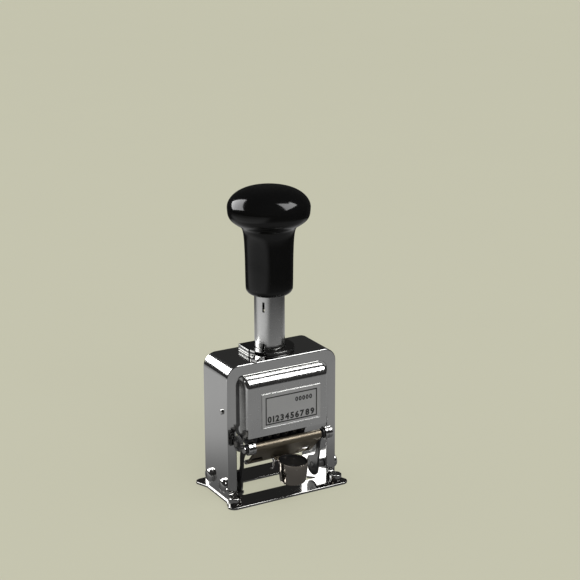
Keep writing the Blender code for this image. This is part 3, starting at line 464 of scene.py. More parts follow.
# Steel finishes: plated and polished, satin, and blackened
plated = makeFinish("platedSteel", dict(
    metallic=1.0, colour=(0.74, 0.73, 0.71), shade=(0.66, 0.66, 0.65), wornColour=(0.86, 0.85, 0.83),
    roughness=0.07, roughSpread=0.02, smudge=0.07, stretch=(1, 1, 1), grainScale=260.0, bump=0.05, wear=0.3))
satin = makeFinish("satinSteel", dict(
    metallic=1.0, colour=(0.8, 0.8, 0.785), shade=(0.74, 0.74, 0.73), wornColour=(0.88, 0.87, 0.85),
    roughness=0.1, roughSpread=0.015, smudge=0.04, stretch=(1, 1, 0.3), grainScale=1500.0, bump=0.03, wear=0.5))
satinTop = makeFinish("satinSteelPlunger", dict(
    metallic=1.0, colour=(0.8, 0.8, 0.785), shade=(0.74, 0.74, 0.73), wornColour=(0.88, 0.87, 0.85),
    roughness=0.2, roughSpread=0.04, smudge=0.05, stretch=(0.25, 0.25, 1), grainScale=1300.0, bump=0.08,
    wear=0.3))
coverSteel = makeFinish("coverSteel", dict(
    metallic=1.0, colour=(0.8, 0.8, 0.785), shade=(0.74, 0.74, 0.73), wornColour=(0.88, 0.87, 0.85),
    roughness=0.17, roughSpread=0.03, smudge=0.05, stretch=(0.05, 1, 1), grainScale=1500.0, bump=0.06,
    wear=0.4))
blackened = makeFinish("blackenedSteel", dict(
    metallic=0.15, colour=(0.018, 0.018, 0.019), shade=(0.01, 0.01, 0.011), wornColour=(0.2, 0.195, 0.19),
    roughness=0.3, roughSpread=0.07, smudge=0.12, stretch=(1, 0.2, 1), grainScale=800.0, bump=0.12, wear=0.9,
    ior=1.35))
baseSteel = makeFinish("baseSteel", dict(
    metallic=1.0, colour=(0.46, 0.455, 0.44), shade=(0.4, 0.395, 0.38), wornColour=(0.7, 0.69, 0.67),
    roughness=0.07, roughSpread=0.02, smudge=0.07, stretch=(1, 1, 1), grainScale=260.0, bump=0.05, wear=0.3))
collarSteel = makeFinish("collarSteel", dict(
    metallic=1.0, colour=(0.3, 0.3, 0.29), shade=(0.24, 0.24, 0.235), wornColour=(0.6, 0.59, 0.57),
    roughness=0.12, roughSpread=0.03, smudge=0.07, stretch=(1, 1, 1), grainScale=260.0, bump=0.05, wear=0.3))
cupSteel = makeFinish("cupSteel", dict(
    metallic=1.0, colour=(0.6, 0.55, 0.49), shade=(0.5, 0.44, 0.37), wornColour=(0.86, 0.84, 0.8),
    roughness=0.09, roughSpread=0.03, smudge=0.08, stretch=(1, 1, 1), grainScale=260.0, bump=0.05, wear=0.6))
# Dark brown steel for the pad tray and its hem: the brown is painted reflection, standing in for the dark brown
# that the tray's down-facing face reflects
paintedBrownReflection = makeFinish("brownReflectionSteel", dict(
    metallic=0.9, colour=(0.25, 0.215, 0.16), shade=(0.17, 0.145, 0.11), wornColour=(0.4, 0.35, 0.28),
    roughness=0.4, roughSpread=0.05, smudge=0.12, stretch=(0.1, 1, 1), grainScale=900.0, bump=0.1, wear=0.5))
inked = makeFinish("inkedSteel", dict(
    metallic=0.6, colour=(0.035, 0.034, 0.034), shade=(0.012, 0.012, 0.014), wornColour=(0.3, 0.27, 0.22),
    roughness=0.33, roughSpread=0.1, smudge=0.2, stretch=(1, 1, 1), grainScale=500.0, bump=0.25, wear=0.7))
knobPlastic = makeFinish("knobPlastic", dict(
    metallic=0.0, colour=(0.003, 0.003, 0.003), shade=(0.005, 0.005, 0.0052), wornColour=(0.02, 0.02, 0.02),
    roughness=0.1, roughSpread=0.015, smudge=0.04, stretch=(1, 1, 1), grainScale=180.0, bump=0.02, wear=0.2,
    ior=1.4))
labelSteel = makeFinish("labelSteel", dict(
    metallic=0.9, colour=(0.82, 0.82, 0.81), shade=(0.76, 0.76, 0.755), wornColour=(0.88, 0.88, 0.87),
    roughness=0.3, roughSpread=0.05, smudge=0.05, stretch=(0.04, 1, 1), grainScale=1700.0, bump=0.08, wear=0.4))
labelInk = makeFinish("labelInk", dict(
    metallic=0.0, colour=(0.012, 0.012, 0.012), shade=(0.02, 0.02, 0.021), wornColour=(0.08, 0.08, 0.08),
    roughness=0.42, roughSpread=0.06, smudge=0.05, stretch=(1, 1, 1), grainScale=700.0, bump=0.1, wear=0.2))
springWire = makeFinish("springWire", dict(
    metallic=1.0, colour=(0.5, 0.5, 0.49), shade=(0.4, 0.4, 0.39), wornColour=(0.7, 0.7, 0.68),
    roughness=0.25, roughSpread=0.05, smudge=0.08, stretch=(1, 1, 1), grainScale=600.0, bump=0.1, wear=0.2))
print("materials made")


# Black felt with short loose fibres, soaked with ink in places
def makeFelt():
    material = bpy.data.materials.new("inkedFelt")
    material.use_nodes = True
    tree = material.node_tree
    link = tree.links.new
    shader = tree.nodes["Principled BSDF"]
    shader.inputs["Sheen Weight"].default_value = 0.25
    shader.inputs["Sheen Roughness"].default_value = 0.6
    place = addNode(tree, "ShaderNodeTexCoord")
    fibre = addNode(tree, "ShaderNodeTexNoise", Scale=1800.0, Detail=5.0, Roughness=0.75, Distortion=1.5)
    soak = addNode(tree, "ShaderNodeTexNoise", Scale=160.0, Detail=3.0)
    link(place.outputs["Object"], fibre.inputs["Vector"])
    link(place.outputs["Object"], soak.inputs["Vector"])
    tone = tones(tree, fibre.outputs["Fac"], (0.01, 0.01, 0.012), (0.045, 0.043, 0.045))
    link(tone, shader.inputs["Base Color"])
    link(ramp(tree, soak.outputs["Fac"], 0.35, 0.65, 0.55, 0.95), shader.inputs["Roughness"])
    bump = addNode(tree, "ShaderNodeBump")
    bump.inputs["Strength"].default_value = 0.8
    bump.inputs["Distance"].default_value = 0.15 * mm
    link(fibre.outputs["Fac"], bump.inputs["Height"])
    link(bump.outputs["Normal"], shader.inputs["Normal"])
    return material


felt = makeFelt()


# The upright frame, an inverted U: the outline seen from the front, pushed through its depth
uprightFrame = dict(halfWidth=31.0, halfDepth=12.6, top=71.6, foot=1.3, leg=5.2, bridge=5.9,
                    shoulder=6.8, inner=4.6, edge=0.4, bore=7.9)


def frameShell(values):
    half, top, inside = values["halfWidth"], values["top"], values["halfWidth"] - values["leg"]
    under = top - values["bridge"]
    outer, inner = values["shoulder"], values["inner"]
    outline = np.concatenate([
        [[half, values["foot"]], [half, top - outer - 0.6]],
        arc(half - outer, top - outer, outer, 0, quarter, 24),
        [[half - outer - 0.6, top], [outer - half + 0.6, top]],
        arc(outer - half, top - outer, outer, quarter, math.pi, 24),
        [[-half, top - outer - 0.6], [-half, values["foot"]], [-inside, values["foot"]],
         [-inside, under - inner - 0.5]],
        arc(inner - inside, under - inner, inner, math.pi, quarter, 18),
        [[inner - inside + 0.5, under], [inside - inner - 0.5, under]],
        arc(inside - inner, under - inner, inner, quarter, 0, 18),
        [[inside, under - inner - 0.5], [inside, values["foot"]]]])
    return slab(outline, -values["halfDepth"], values["halfDepth"], values["edge"], alongY)


bore = turnedProfile([(uprightFrame["bore"], 60), (uprightFrame["bore"], 75)], 96, alongZ)
makePiece("uprightFrame", frameShell(uprightFrame), satin, "stand", ["frame"], cuts=[bore])

# Base plate: four rounded lobes about a waist, and a window with two pointers
basePlate = dict(thick=1.2, front=21.9, back=19.6, waist=31.7, lobe=34.2, lobeRound=3.6, lobeRise=6.5, edge=0.3,
                 windowFront=9.6, windowBack=5.5, windowSide=21.4, windowCorner=1.0, pointerReach=3.3,
                 pointerLine=4.9, pointerHalf=3.4)


def baseShell(values):
    outline, rounding = [], values["lobeRound"]
    for mirrorX, mirrorY, depth in ((1, 1, values["back"]), (-1, 1, values["back"]),
                                    (-1, -1, values["front"]), (1, -1, values["front"])):
        part = np.concatenate([
            [[values["waist"], depth - rounding - values["lobeRise"]]],
            arc(values["lobe"] - rounding, depth - rounding, rounding, 0, quarter, 16)])
        part = part * (mirrorX, mirrorY)
        outline.append(part if mirrorX == mirrorY else part[::-1])
    side, line, half = values["windowSide"], values["pointerLine"], values["pointerHalf"]
    tip, corner = side - values["pointerReach"], values["windowCorner"]
    window = [(side - corner, -values["windowFront"]), (side, corner - values["windowFront"]),
              (side, -line - half), (tip + 0.55, -line - half / 4), (tip, -line), (tip + 0.55, half / 4 - line),
              (side, half * 1.5 - line),
              (side, values["windowBack"] - corner), (side - corner, values["windowBack"])]
    window += [(-x, y) for x, y in reversed(window)]
    return ringSlab(np.concatenate(outline), window, 0.0, values["thick"], values["edge"], alongZ,
                    centre=(0, -line), count=420)


makePiece("basePlate", baseShell(basePlate), baseSteel, "stand", ["base_plate"])

# Studs in front of the legs, each with a slot across its top
footStud = dict(x=29.2, y=-16.0, radius=3.1, low=1.3, height=3.0, round=0.5, slotWidth=0.8, slotDepth=0.6)
for side, word in ((-1, "left"), (1, "right")):
    top = footStud["low"] + footStud["height"]
    profile = roundCorners([(0, footStud["low"]), (footStud["radius"], footStud["low"]),
                            (footStud["radius"], top), (0, top)],
                           np.array([0, 0.1, footStud["round"], 0]), closed=False)
    place, halfSlot = (side * footStud["x"], footStud["y"], 0), footStud["slotWidth"] / 2
    slot = slab(rectangle(-5, 5, -halfSlot, halfSlot), top - footStud["slotDepth"], top + 1, 0.02,
                alongZ, place)
    makePiece("footStud_" + word, turnedProfile(profile, 72, alongZ, place), plated, "stand",
              ["foot_stud_" + word], cuts=[slot])

# Round-headed screws low on the legs; the front pair are the pivots of the pad arms
legScrew = dict(face=31.1, radius=3.6, height=2.5, z=8.47, slotWidth=0.9, slotDepth=0.8,
                pivotY=-8.54, plainY=6.0, shank=1.6, boss=2.2, pin=1.4, inner=27.4, pivotLean=12, plainLean=24,
                armFaces=(23.3, 19.6), pinLength=1.3, bossEnd=25.5, cutHalf=5, edge=0.02)


def screwShell(side, y, tail):
    values = legScrew
    rim, high = values["radius"], values["height"]
    dome = np.linspace(0, quarter, 12)
    crown = np.stack([rim * np.cos(dome) ** 0.75, values["face"] + high * (0.3 + 0.7 * np.sin(dome))], 1)
    profile = np.concatenate([tail, [[values["shank"], values["face"]], [rim - 0.15, values["face"]],
                                     [rim, values["face"] + 0.15], [rim, values["face"] + high * 0.26]], crown])
    profile[-1, 0] = 0
    profile = profile * (1, side)
    return turnedProfile(profile, 72, alongX, (0, y, values["z"]))


for side, word, armInner in zip((-1, 1), ("left", "right"), legScrew["armFaces"]):
    values = legScrew
    inner, outer, cutEdge = values["inner"], values["face"] + values["height"], values["edge"]
    slotEnds = sorted((side * (outer - values["slotDepth"]), side * (outer + 1)))
    for y, degrees, kind, node in ((values["pivotY"], values["pivotLean"], "padPivot_", "pad_pivot_"),
                                   (values["plainY"], values["plainLean"], "frameScrew_", "frame_screw_")):
        place = (0, y, values["z"])
        tail = np.array([[0, inner], [values["shank"], inner]])
        lean = math.radians(degrees) * side
        turnWay = np.array([[0, math.cos(lean), math.sin(lean)], [0, -math.sin(lean), math.cos(lean)],
                            [1, 0, 0]])
        across, along = values["slotWidth"] / 2, values["cutHalf"]
        slot = slab(rectangle(-across, across, -along, along), *slotEnds, cutEdge, turnWay, place)
        makePiece(kind + word, screwShell(side, y, tail), plated, "stand", [node + word], cuts=[slot])
        if y == values["pivotY"]:
            pinEnd = armInner + values["pinLength"]
            stem = np.array([[0, armInner], [values["pin"], armInner], [values["pin"], pinEnd],
                             [values["boss"], pinEnd], [values["boss"], values["bossEnd"]],
                             [values["shank"], values["bossEnd"]], [values["shank"], inner - cutEdge],
                             [0, inner - cutEdge]]) * (1, side)
            makePiece("pivotStem_" + word, turnedProfile(stem, 48, alongX, place), blackened, "stand")

# Small pin high on the left leg
sidePin = dict(face=-31.1, y=-7.1, z=47.0, radius=1.3, height=0.8, shank=0.8, depth=3.0)
face, end = sidePin["face"], sidePin["depth"] - uprightFrame["halfWidth"]
pinProfile = roundCorners([(0, end), (sidePin["shank"], end),
                           (sidePin["shank"], face), (sidePin["radius"], face),
                           (sidePin["radius"], face - sidePin["height"]), (0, face - sidePin["height"])],
                          np.array([0, 0.05, 0.05, 0.1, 0.4, 0]), closed=False)
makePiece("sidePin", turnedProfile(pinProfile, 48, alongX, (0, sidePin["y"], sidePin["z"])), plated, "stand",
          ["side_pin"])
print("frame and base made")


collar = dict(radius=12.4, left=12.8, back=9.8, leftFront=1.0, corner=0.8, bore=7.9, edge=0.3,
              plateLow=71.7, plateHigh=72.5, spacerLow=72.6, spacerHigh=73.5, capLow=73.6, capHigh=74.4,
              lockAngle=52.0, gapReach=20.2, gapHalf=3.8, gapLow=72.0, gapHigh=74.2)
collarTurn = math.asin(collar["back"] / collar["radius"])
collarStart = math.asin(collar["leftFront"] / collar["radius"])
roundPart = arc(0, 0, collar["radius"], math.pi + 2 * collarStart, 2 * math.pi + collarTurn, 90)
cornerPart = arc(-collar["left"] + collar["corner"], collar["back"] - collar["corner"], collar["corner"],
                 quarter, math.pi, 6)
collarOutline = np.concatenate([cornerPart, [[-collar["left"], -collar["leftFront"]]], roundPart])
collarHole = arc(0, 0, collar["bore"], 0, 2 * math.pi, 120)[:-1]
lockTurn = math.radians(collar["lockAngle"])
lockWay = np.array([-math.sin(lockTurn), -math.cos(lockTurn)])
lockAcross = np.array([-lockWay[1], lockWay[0]])
lockBasis = np.array([[*lockWay, 0], [*lockAcross, 0], [0, 0, 1.0]])
slideGap = slab(rectangle(0, collar["gapReach"], -collar["gapHalf"], collar["gapHalf"]), collar["gapLow"],
                collar["gapHigh"], 0.01, lockBasis)
makePiece("collarPlate", ringSlab(collarOutline, collarHole, collar["plateLow"], collar["plateHigh"],
                                  collar["edge"], alongZ), collarSteel, "stand", ["collar_plate"])
makePiece("collarSpacer", ringSlab(collarOutline, collarHole, collar["spacerLow"], collar["spacerHigh"],
                                   collar["edge"], alongZ), blackened, "stand", ["collar_spacer"],
          cuts=[slideGap])
makePiece("collarCap", ringSlab(collarOutline, collarHole, collar["capLow"], collar["capHigh"], collar["edge"],
                                alongZ), collarSteel, "stand", ["collar_cap"])

lockSlide = dict(low=72.8, high=73.3, tabLow=71.8, width=7.0, tooth=0.7, toothTip=7.9, toothRoot=10.5,
                 shoulder=16.2, reach=20.2, nib=3.4, tabStart=14.3, round=0.7)
halfWidth, halfNib = lockSlide["width"] / 2, lockSlide["nib"] / 2
tabSide = [(lockSlide["shoulder"] - 1.4, halfWidth), (lockSlide["shoulder"] - 0.2, halfWidth - 0.7),
           (lockSlide["shoulder"], halfNib), (lockSlide["reach"], halfNib)]
slideSide = [(lockSlide["toothTip"], lockSlide["tooth"] / 2), (lockSlide["toothRoot"], lockSlide["tooth"] / 2),
             (lockSlide["toothRoot"], halfWidth)] + tabSide
tabOutline = [(lockSlide["tabStart"], halfWidth)] + tabSide
slideShell = slab(roundCorners(slideSide + [(a, -b) for a, b in reversed(slideSide)], 0.3), lockSlide["low"],
                  lockSlide["high"], 0.12, lockBasis)
tabShell = slab(roundCorners(tabOutline + [(a, -b) for a, b in reversed(tabOutline)], 0.5), lockSlide["tabLow"],
                lockSlide["high"] - 0.02, 0.2, lockBasis)
makePiece("lockSlide", together(slideShell, tabShell), plated, "lock", ["lock_slide"])


plunger = dict(radius=7.6, bore=5.6, low=57.0, high=129.0, notch=1.2, notchLow=71.9, notchHeight=5.2,
               stroke=21.8, slotHalf=1.9, slotLow=66.2, slotHigh=92.1,
               notchStart=4.0, slotStart=3.0, cutEnd=9.0)
tubeProfile = roundCorners([(plunger["bore"], plunger["low"]), (plunger["radius"], plunger["low"]),
                            (plunger["radius"], plunger["high"]), (plunger["bore"], plunger["high"])], 0.2)
notches = [slab(rectangle(plunger["notchStart"], plunger["cutEnd"], -plunger["notch"] / 2,
                          plunger["notch"] / 2), low, low + plunger["notchHeight"], 0.05, lockBasis)
           for low in (plunger["notchLow"], plunger["notchLow"] + plunger["stroke"])]
backSlot = slab(rectangle(-plunger["slotHalf"], plunger["slotHalf"], plunger["slotStart"], plunger["cutEnd"]),
                plunger["slotLow"], plunger["slotHigh"], 0.05, alongZ)
makePiece("plungerTube", turnedProfile(tubeProfile, 128, alongZ, closed=True), satinTop, "carriage",
          ["plunger_tube", "plunger_plug"], cuts=notches + [backSlot])

knobShape = dict(radius=20.5, top=155.8, widest=145.7, neck=135.6, bottom=101.8,
                 corner=3.2, bore=7.75, boreTop=129.1, sideBend=0.77, crownBend=1.08)


def knobShell(values):
    low = values["widest"] - values["neck"]
    high = values["top"] - values["widest"]
    # Above its widest line the head is an oval, x = r cos(a)^side and z = h sin(a)^crown. Below that line a
    # smooth curve runs through shares of the radius and of the depth to the neck, and on down the grip
    up = np.linspace(0, quarter, 40)[::-1]
    head = np.stack([values["radius"] * np.cos(up) ** values["sideBend"],
                     values["widest"] + high * np.sin(up) ** values["crownBend"]], 1)
    shares = np.array([(1.0, 0.0), (0.995, 0.18), (0.984, 0.35), (0.958, 0.49), (0.92, 0.6), (0.865, 0.7),
                       (0.795, 0.8), (0.72, 0.9), (0.668, 1.0), (0.64, 1.12), (0.618, 1.32), (0.603, 1.62),
                       (0.593, 2.0), (0.585, 2.5), (0.581, 3.1), (0.577, 3.7), (0.573, 4.02)])
    under = smoothCurve(shares * (values["radius"], -low) + (0, values["widest"]), 90)[1:]
    tip = under[-1]
    down = np.linspace(0, quarter, 10)[1:]
    end = np.stack([tip[0] - values["corner"] * (1 - np.cos(down)),
                    values["bottom"] + values["corner"] * (1 - np.sin(down))], 1)
    inside = [(values["bore"] + 0.02, values["bottom"]), (values["bore"], values["bottom"] + 0.02),
              (values["bore"], values["boreTop"]), (0, values["boreTop"])]
    profile = np.concatenate([head, under, end, inside])
    return turnedProfile(profile, 160, alongZ)


makePiece("knobBody", knobShell(knobShape), knobPlastic, "carriage", ["knob"])

spring = dict(radius=4.2, wire=0.55, turns=15, low=70.55, high=125.75, points=28, seat=70.0, top=126.3)
steps = spring["turns"] * spring["points"]
turn = np.linspace(0, 2 * math.pi * spring["turns"], steps + 1)
coil = np.stack([spring["radius"] * np.cos(turn), spring["radius"] * np.sin(turn),
                 np.linspace(spring["low"], spring["high"], steps + 1)], 1)
outwards = np.stack([np.cos(turn), np.sin(turn), 0 * turn], 1)
springPiece = makePiece("returnSpring", wire(coil, spring["wire"], 12, outwards), springWire, "stand",
                        ["return_spring"])
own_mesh(springPiece)
print("plunger, knob and collar made")


coverShape = dict(half=23.0, front=18.6, low=34.6, top=65.4, back=10.6, radius=5.0, wall=1.2, edge=1.8,
                  heel=4.0)


# The front runs up, round and back along a path; across it, each end turns in by a quarter circle
def coverShell(values):
    radius, front, top = values["radius"], -values["front"], values["top"]
    bend = np.linspace(math.pi, quarter, 25)
    path = np.concatenate([np.stack([np.full(8, front), np.linspace(values["low"], top - radius - 0.3, 8)], 1),
                           np.stack([front + radius + radius * np.cos(bend),
                                     top - radius + radius * np.sin(bend)], 1),
                           [[front + radius + 0.3, top], [-values["back"], top]]])
    inward = np.concatenate([np.tile([[1.0, 0.0]], (8, 1)), np.stack([-np.cos(bend), -np.sin(bend)], 1),
                             np.tile([[0.0, -1.0]], (2, 1))])
    edge = values["edge"]
    side = np.linspace(0, quarter, 11)
    inset = np.concatenate([[0.0], edge * (1 - np.cos(side)), [edge + 0.15]])
    across = np.concatenate([[values["half"] - edge - 0.15], values["half"] - edge + edge * np.sin(side),
                             [values["half"]]])
    inset = np.concatenate([inset[::-1], inset])
    across = np.concatenate([-across[::-1], across])
    flat = path[None] + inward[None] * inset[:, None, None]
    grid = np.concatenate([np.broadcast_to(across[:, None, None], flat.shape[:2] + (1,)), flat], 2)
    points, faces = skin(grid, closedCols=False)
    rows, cols = grid.shape[:2]
    heel = arc(-values["back"] - values["heel"], values["low"] + values["heel"], values["heel"], 0, -quarter, 8)
    sides = []
    for row, x in ((0, -values["half"]), (rows - 1, values["half"])):
        start = len(points)
        points = np.concatenate([points, np.column_stack([np.full(len(heel), x), heel])])
        rim = list(range(row * cols, row * cols + cols)) + list(range(start, start + len(heel)))
        sides.append(rim if row else rim[::-1])
    return points, faces + sides


makePiece("carriageCover", coverShell(coverShape), coverSteel, "carriage", ["cover"], wall=coverShape["wall"])

labelShape = dict(left=-14.9, right=18.2, low=38.3, high=56.6, face=-18.7, thick=0.3, rim=0.7, rise=0.15,
                  line=0.6, lineInset=1.9, ink=0.04)


def border(values, inset, width, low, high):
    outer = rectangle(values["left"] + inset, values["right"] - inset, values["low"] + inset,
                      values["high"] - inset)
    inner = rectangle(values["left"] + inset + width, values["right"] - inset - width,
                      values["low"] + inset + width, values["high"] - inset - width)
    middle = ((values["left"] + values["right"]) / 2, (values["low"] + values["high"]) / 2)
    return ringSlab(outer, inner, low, high, (high - low) * 0.3, alongY, centre=middle, count=24, steps=3)


plateFace = labelShape["face"] - labelShape["thick"]
sheet = slab(rectangle(labelShape["left"], labelShape["right"], labelShape["low"], labelShape["high"]),
             plateFace, labelShape["face"], 0.1, alongY)
rim = border(labelShape, 0.0, labelShape["rim"], plateFace - labelShape["rise"], plateFace + 0.1)
makePiece("labelPlate", together(sheet, rim), labelSteel, "carriage", ["label_plate"])


# Figures in a row, facing the front
def figureRow(words, height, middle, low, high, gap):
    shells = []
    place = 0.0
    for letter in words:
        points, faces = figureShell(letter, height, high - low, 0.045)
        width = points[:, 0].max() - points[:, 0].min()
        points = points + (place + width / 2, 0, 0)
        place += width + gap
        shells.append((points, faces))
    points, faces = together(*shells)
    points = points - ((place - gap) / 2, 0, 0)
    flat = np.stack([points[:, 0] + middle[0], (low + high) / 2 - points[:, 2], points[:, 1] + middle[1]], 1)
    return flat, faces


inkHigh = plateFace - labelShape["ink"]
line = border(labelShape, labelShape["lineInset"], labelShape["line"], inkHigh, plateFace + 0.02)
serial = figureRow("00000", 3.1, (8.6, 51.0), inkHigh, plateFace + 0.02, 0.35)
scaleRow = figureRow("0123456789", 4.3, (1.4, 42.9), inkHigh, plateFace + 0.02, 0.65)
makePiece("labelFigures", together(line, serial, scaleRow), labelInk, "carriage",
          closed=False)
print("cover and label made")


wheels = dict(count=6, pitch=4.8, rim=3.4, ratchet=1.1, radius=11.1, rise=0.65, ratchetRadius=8.4,
              ratchetDepth=1.3, y=-2.5, z=33.3, bore=2.3, figures=10, figureHeight=5.0)
rodPlace = np.array([-17.77, 29.18])
lipPlace = np.array([-8.5, 18.01])
slope = (lipPlace - rodPlace) / np.linalg.norm(lipPlace - rodPlace)
wheels["facing"] = math.atan2(-slope[0], slope[1])
glyphs = [figureShell(str(number), wheels["figureHeight"], wheels["rise"] + 0.3) for number in range(10)]


# A drum with ten raised figures that read backwards, and a saw-toothed ratchet beside it
def wheelShell(start, values):
    low = values["radius"] - values["rise"]
    drum = roundCorners([(values["bore"], start), (low, start), (low, start + values["rim"]),
                         (values["bore"], start + values["rim"])], 0.15)
    shells = [turnedProfile(drum, 100, alongX, (0, values["y"], values["z"]), closed=True)]
    segments = 120
    angle = np.linspace(0, 2 * math.pi, segments, endpoint=False) - values["facing"]
    tooth = (angle * values["figures"] / (2 * math.pi)) % 1.0
    teeth = values["ratchetRadius"] - values["ratchetDepth"] * (1 - tooth)
    inner = np.full(segments, values["bore"])
    table = np.stack([inner, teeth - 0.1, teeth, teeth, teeth - 0.1, inner])
    sideStart = start + values["rim"] + 0.01
    along = sideStart + np.array([0, 0, 0.1, values["ratchet"] - 0.11, values["ratchet"] - 0.01,
                                  values["ratchet"] - 0.01])
    shells.append(turned(table, along, segments, alongX, (0, values["y"], values["z"]), closed=True))
    middle = start + values["rim"] / 2
    for number, (points, faces) in enumerate(glyphs):
        turn = values["facing"] + 2 * math.pi * number / values["figures"]
        out = np.array([0, math.cos(turn), math.sin(turn)])
        up = np.array([0, -math.sin(turn), math.cos(turn)])
        height = values["radius"] - (values["rise"] + 0.3) / 2
        wide = np.clip(points[:, 0] * 0.92, -1.55, 1.55)
        bow = values["radius"] - np.sqrt(values["radius"] ** 2 - points[:, 1] ** 2)
        place = (np.array([middle, values["y"], values["z"]]) + wide[:, None] * np.array([1.0, 0, 0])
                 + points[:, 1:2] * up + (height + points[:, 2:3] - bow[:, None]) * out)
        shells.append((place, faces))
    return together(*shells)


for number in range(wheels["count"]):
    start = (number - wheels["count"] / 2) * wheels["pitch"] + 0.15
    makePiece("figureWheel_" + str(number + 1), wheelShell(start, wheels), inked, "wheel_" + str(number + 1),
              ["figure_wheel_" + str(number + 1)])
print("figure wheels made")


dialShape = dict(radius=4.1, inner=-26.3, outer=-28.2, y=-17.1, z=33.0, teeth=18, depth=0.45, bore=1.05,
                 round=0.3, grooves=(1.9, 2.2, 2.9, 3.2), grooveDepth=0.25, chamfer=0.55)
segments = dialShape["teeth"] * 10
turn = np.linspace(0, 2 * math.pi, segments, endpoint=False)
wave = np.abs(((turn * dialShape["teeth"] / (2 * math.pi)) % 1.0) * 2 - 1) ** 0.8
knurl = dialShape["radius"] - dialShape["depth"] * wave
cone = np.minimum(knurl, dialShape["radius"] - dialShape["chamfer"])
rings = np.stack([np.full(segments, radius) for radius in (dialShape["bore"], *dialShape["grooves"])]
                 + [cone, knurl, knurl, cone, np.full(segments, dialShape["bore"])])
outer, inner = dialShape["outer"], dialShape["inner"]
deep = outer + dialShape["grooveDepth"]
along = [outer, outer, deep, deep, outer, outer, outer + dialShape["round"], inner - dialShape["round"], inner,
         inner]
makePiece("movementDial", turned(rings, along, segments, alongX, (0, dialShape["y"], dialShape["z"]),
                                 closed=True),
          blackened, "dial", ["movement_dial"])


rodShape = dict(y=rodPlace[0], z=rodPlace[1], radius=1.2, leftEnd=-24.4, rightEnd=25.0, leftCap=0.7,
                rightCap=0.5, cap=1.9)
rodSpots = [(0, rodShape["leftEnd"] - rodShape["leftCap"]),
            (rodShape["cap"], rodShape["leftEnd"] - rodShape["leftCap"]),
            (rodShape["cap"], rodShape["leftEnd"]), (rodShape["radius"], rodShape["leftEnd"]),
            (rodShape["radius"], rodShape["rightEnd"]), (rodShape["cap"], rodShape["rightEnd"]),
            (rodShape["cap"], rodShape["rightEnd"] + rodShape["rightCap"]),
            (0, rodShape["rightEnd"] + rodShape["rightCap"])]
rodProfile = roundCorners(rodSpots, np.array([0, 0.45, 0.1, 0.1, 0.1, 0.1, 0.3, 0]), closed=False)
makePiece("padRod", turnedProfile(rodProfile, 64, alongX, (0, rodShape["y"], rodShape["z"])), plated,
          "pad_arms", ["pad_rod"])

# Round nut with a narrow collar; a groove runs between the two
nutShape = dict(radius=3.2, bore=1.3, collar=1.6, groove=0.2, grooveRadius=2.5, thick=2.4, round=0.35)
for side, word, start in ((-1, "left", 19.0), (1, "right", 20.7)):
    collarEnd = start + nutShape["collar"]
    faceStart = collarEnd + nutShape["groove"]
    end = faceStart + nutShape["thick"]
    spots = [(nutShape["bore"], start), (nutShape["radius"], start), (nutShape["radius"], collarEnd),
             (nutShape["grooveRadius"], collarEnd), (nutShape["grooveRadius"], faceStart),
             (nutShape["radius"], faceStart), (nutShape["radius"], end), (nutShape["bore"], end)]
    size = nutShape["round"]
    profile = roundCorners(spots, np.array([0.05, size, size, 0.05, 0.05, size, size * 1.5, 0.05])) * (1, side)
    makePiece("rodNut_" + word, turnedProfile(profile, 96, alongX, (0, rodShape["y"], rodShape["z"]),
                                              closed=True),
              plated, "pad_arms", ["rod_nut_" + word])

armShape = dict(pivotY=-8.54, pivotZ=8.47, eye=2.5, foot=5.5, thick=1.0, left=-24.3, right=19.6, edge=0.22,
                widths=(0.96, 0.64, 0.64, 0.82), rises=(0.27, 0.46, 0.68, 0.85),
                bows=(0.05, 0.045, -0.04, -0.06))


# The arm's sides run smoothly from a round foot at the pivot to a round eye at the rod
def armOutline(values):
    start = np.array([values["pivotY"], values["pivotZ"]])
    way = rodPlace - start
    length = np.linalg.norm(way)
    ahead = way / length
    square = np.array([-ahead[1], ahead[0]])
    lean = math.atan2(ahead[1], ahead[0])
    rises, bows, widths = (np.array(values[key])[:, None] for key in ("rises", "bows", "widths"))
    middle = start + way * rises + square * length * bows
    leftSide = middle + square * values["eye"] * widths
    rightSide = middle - square * values["eye"] * widths
    foot = arc(*start, values["foot"], lean + quarter - 0.3, lean + 3 * quarter + 0.3, 40)
    eye = arc(*rodPlace, values["eye"], lean - quarter, lean + quarter, 32)
    right = smoothCurve(np.concatenate([foot[-1:], rightSide, eye[:1]]), 40)[1:-1]
    left = smoothCurve(np.concatenate([eye[-1:], leftSide[::-1], foot[:1]]), 40)[1:-1]
    return np.concatenate([foot, right, eye, left])


for word, low in (("left", armShape["left"]), ("right", armShape["right"])):
    holes = [turnedProfile([(1.7, low - 1), (1.7, low + 2)], 48, alongX,
                           (0, armShape["pivotY"], armShape["pivotZ"])),
             turnedProfile([(1.3, low - 1), (1.3, low + 2)], 48, alongX, (0, *rodPlace))]
    makePiece("padArm_" + word, slab(armOutline(armShape), low, low + armShape["thick"], armShape["edge"],
                                     alongX),
              blackened, "pad_arms", ["pad_arm_" + word], cuts=holes)

# Pad tray: a sheet with two windows, rolled round the rod at the top, with a rolled lip and a tongue to the cup
trayShape = dict(half=18.7, thick=1.0, hem=2.15, bore=1.5, lip=1.2, lipHalf=19.3, windowIn=9.0, windowOut=16.9,
                 windowShift=-0.9, windowSlant=2.2, windowTop=8.7, windowLow=13.2, tongueHalf=5.2,
                 tongueThick=1.3, tongueEnd=-14.6)
slopeLength = float(np.linalg.norm(lipPlace - rodPlace))
lean = math.atan2(trayShape["hem"] - trayShape["lip"], slopeLength)
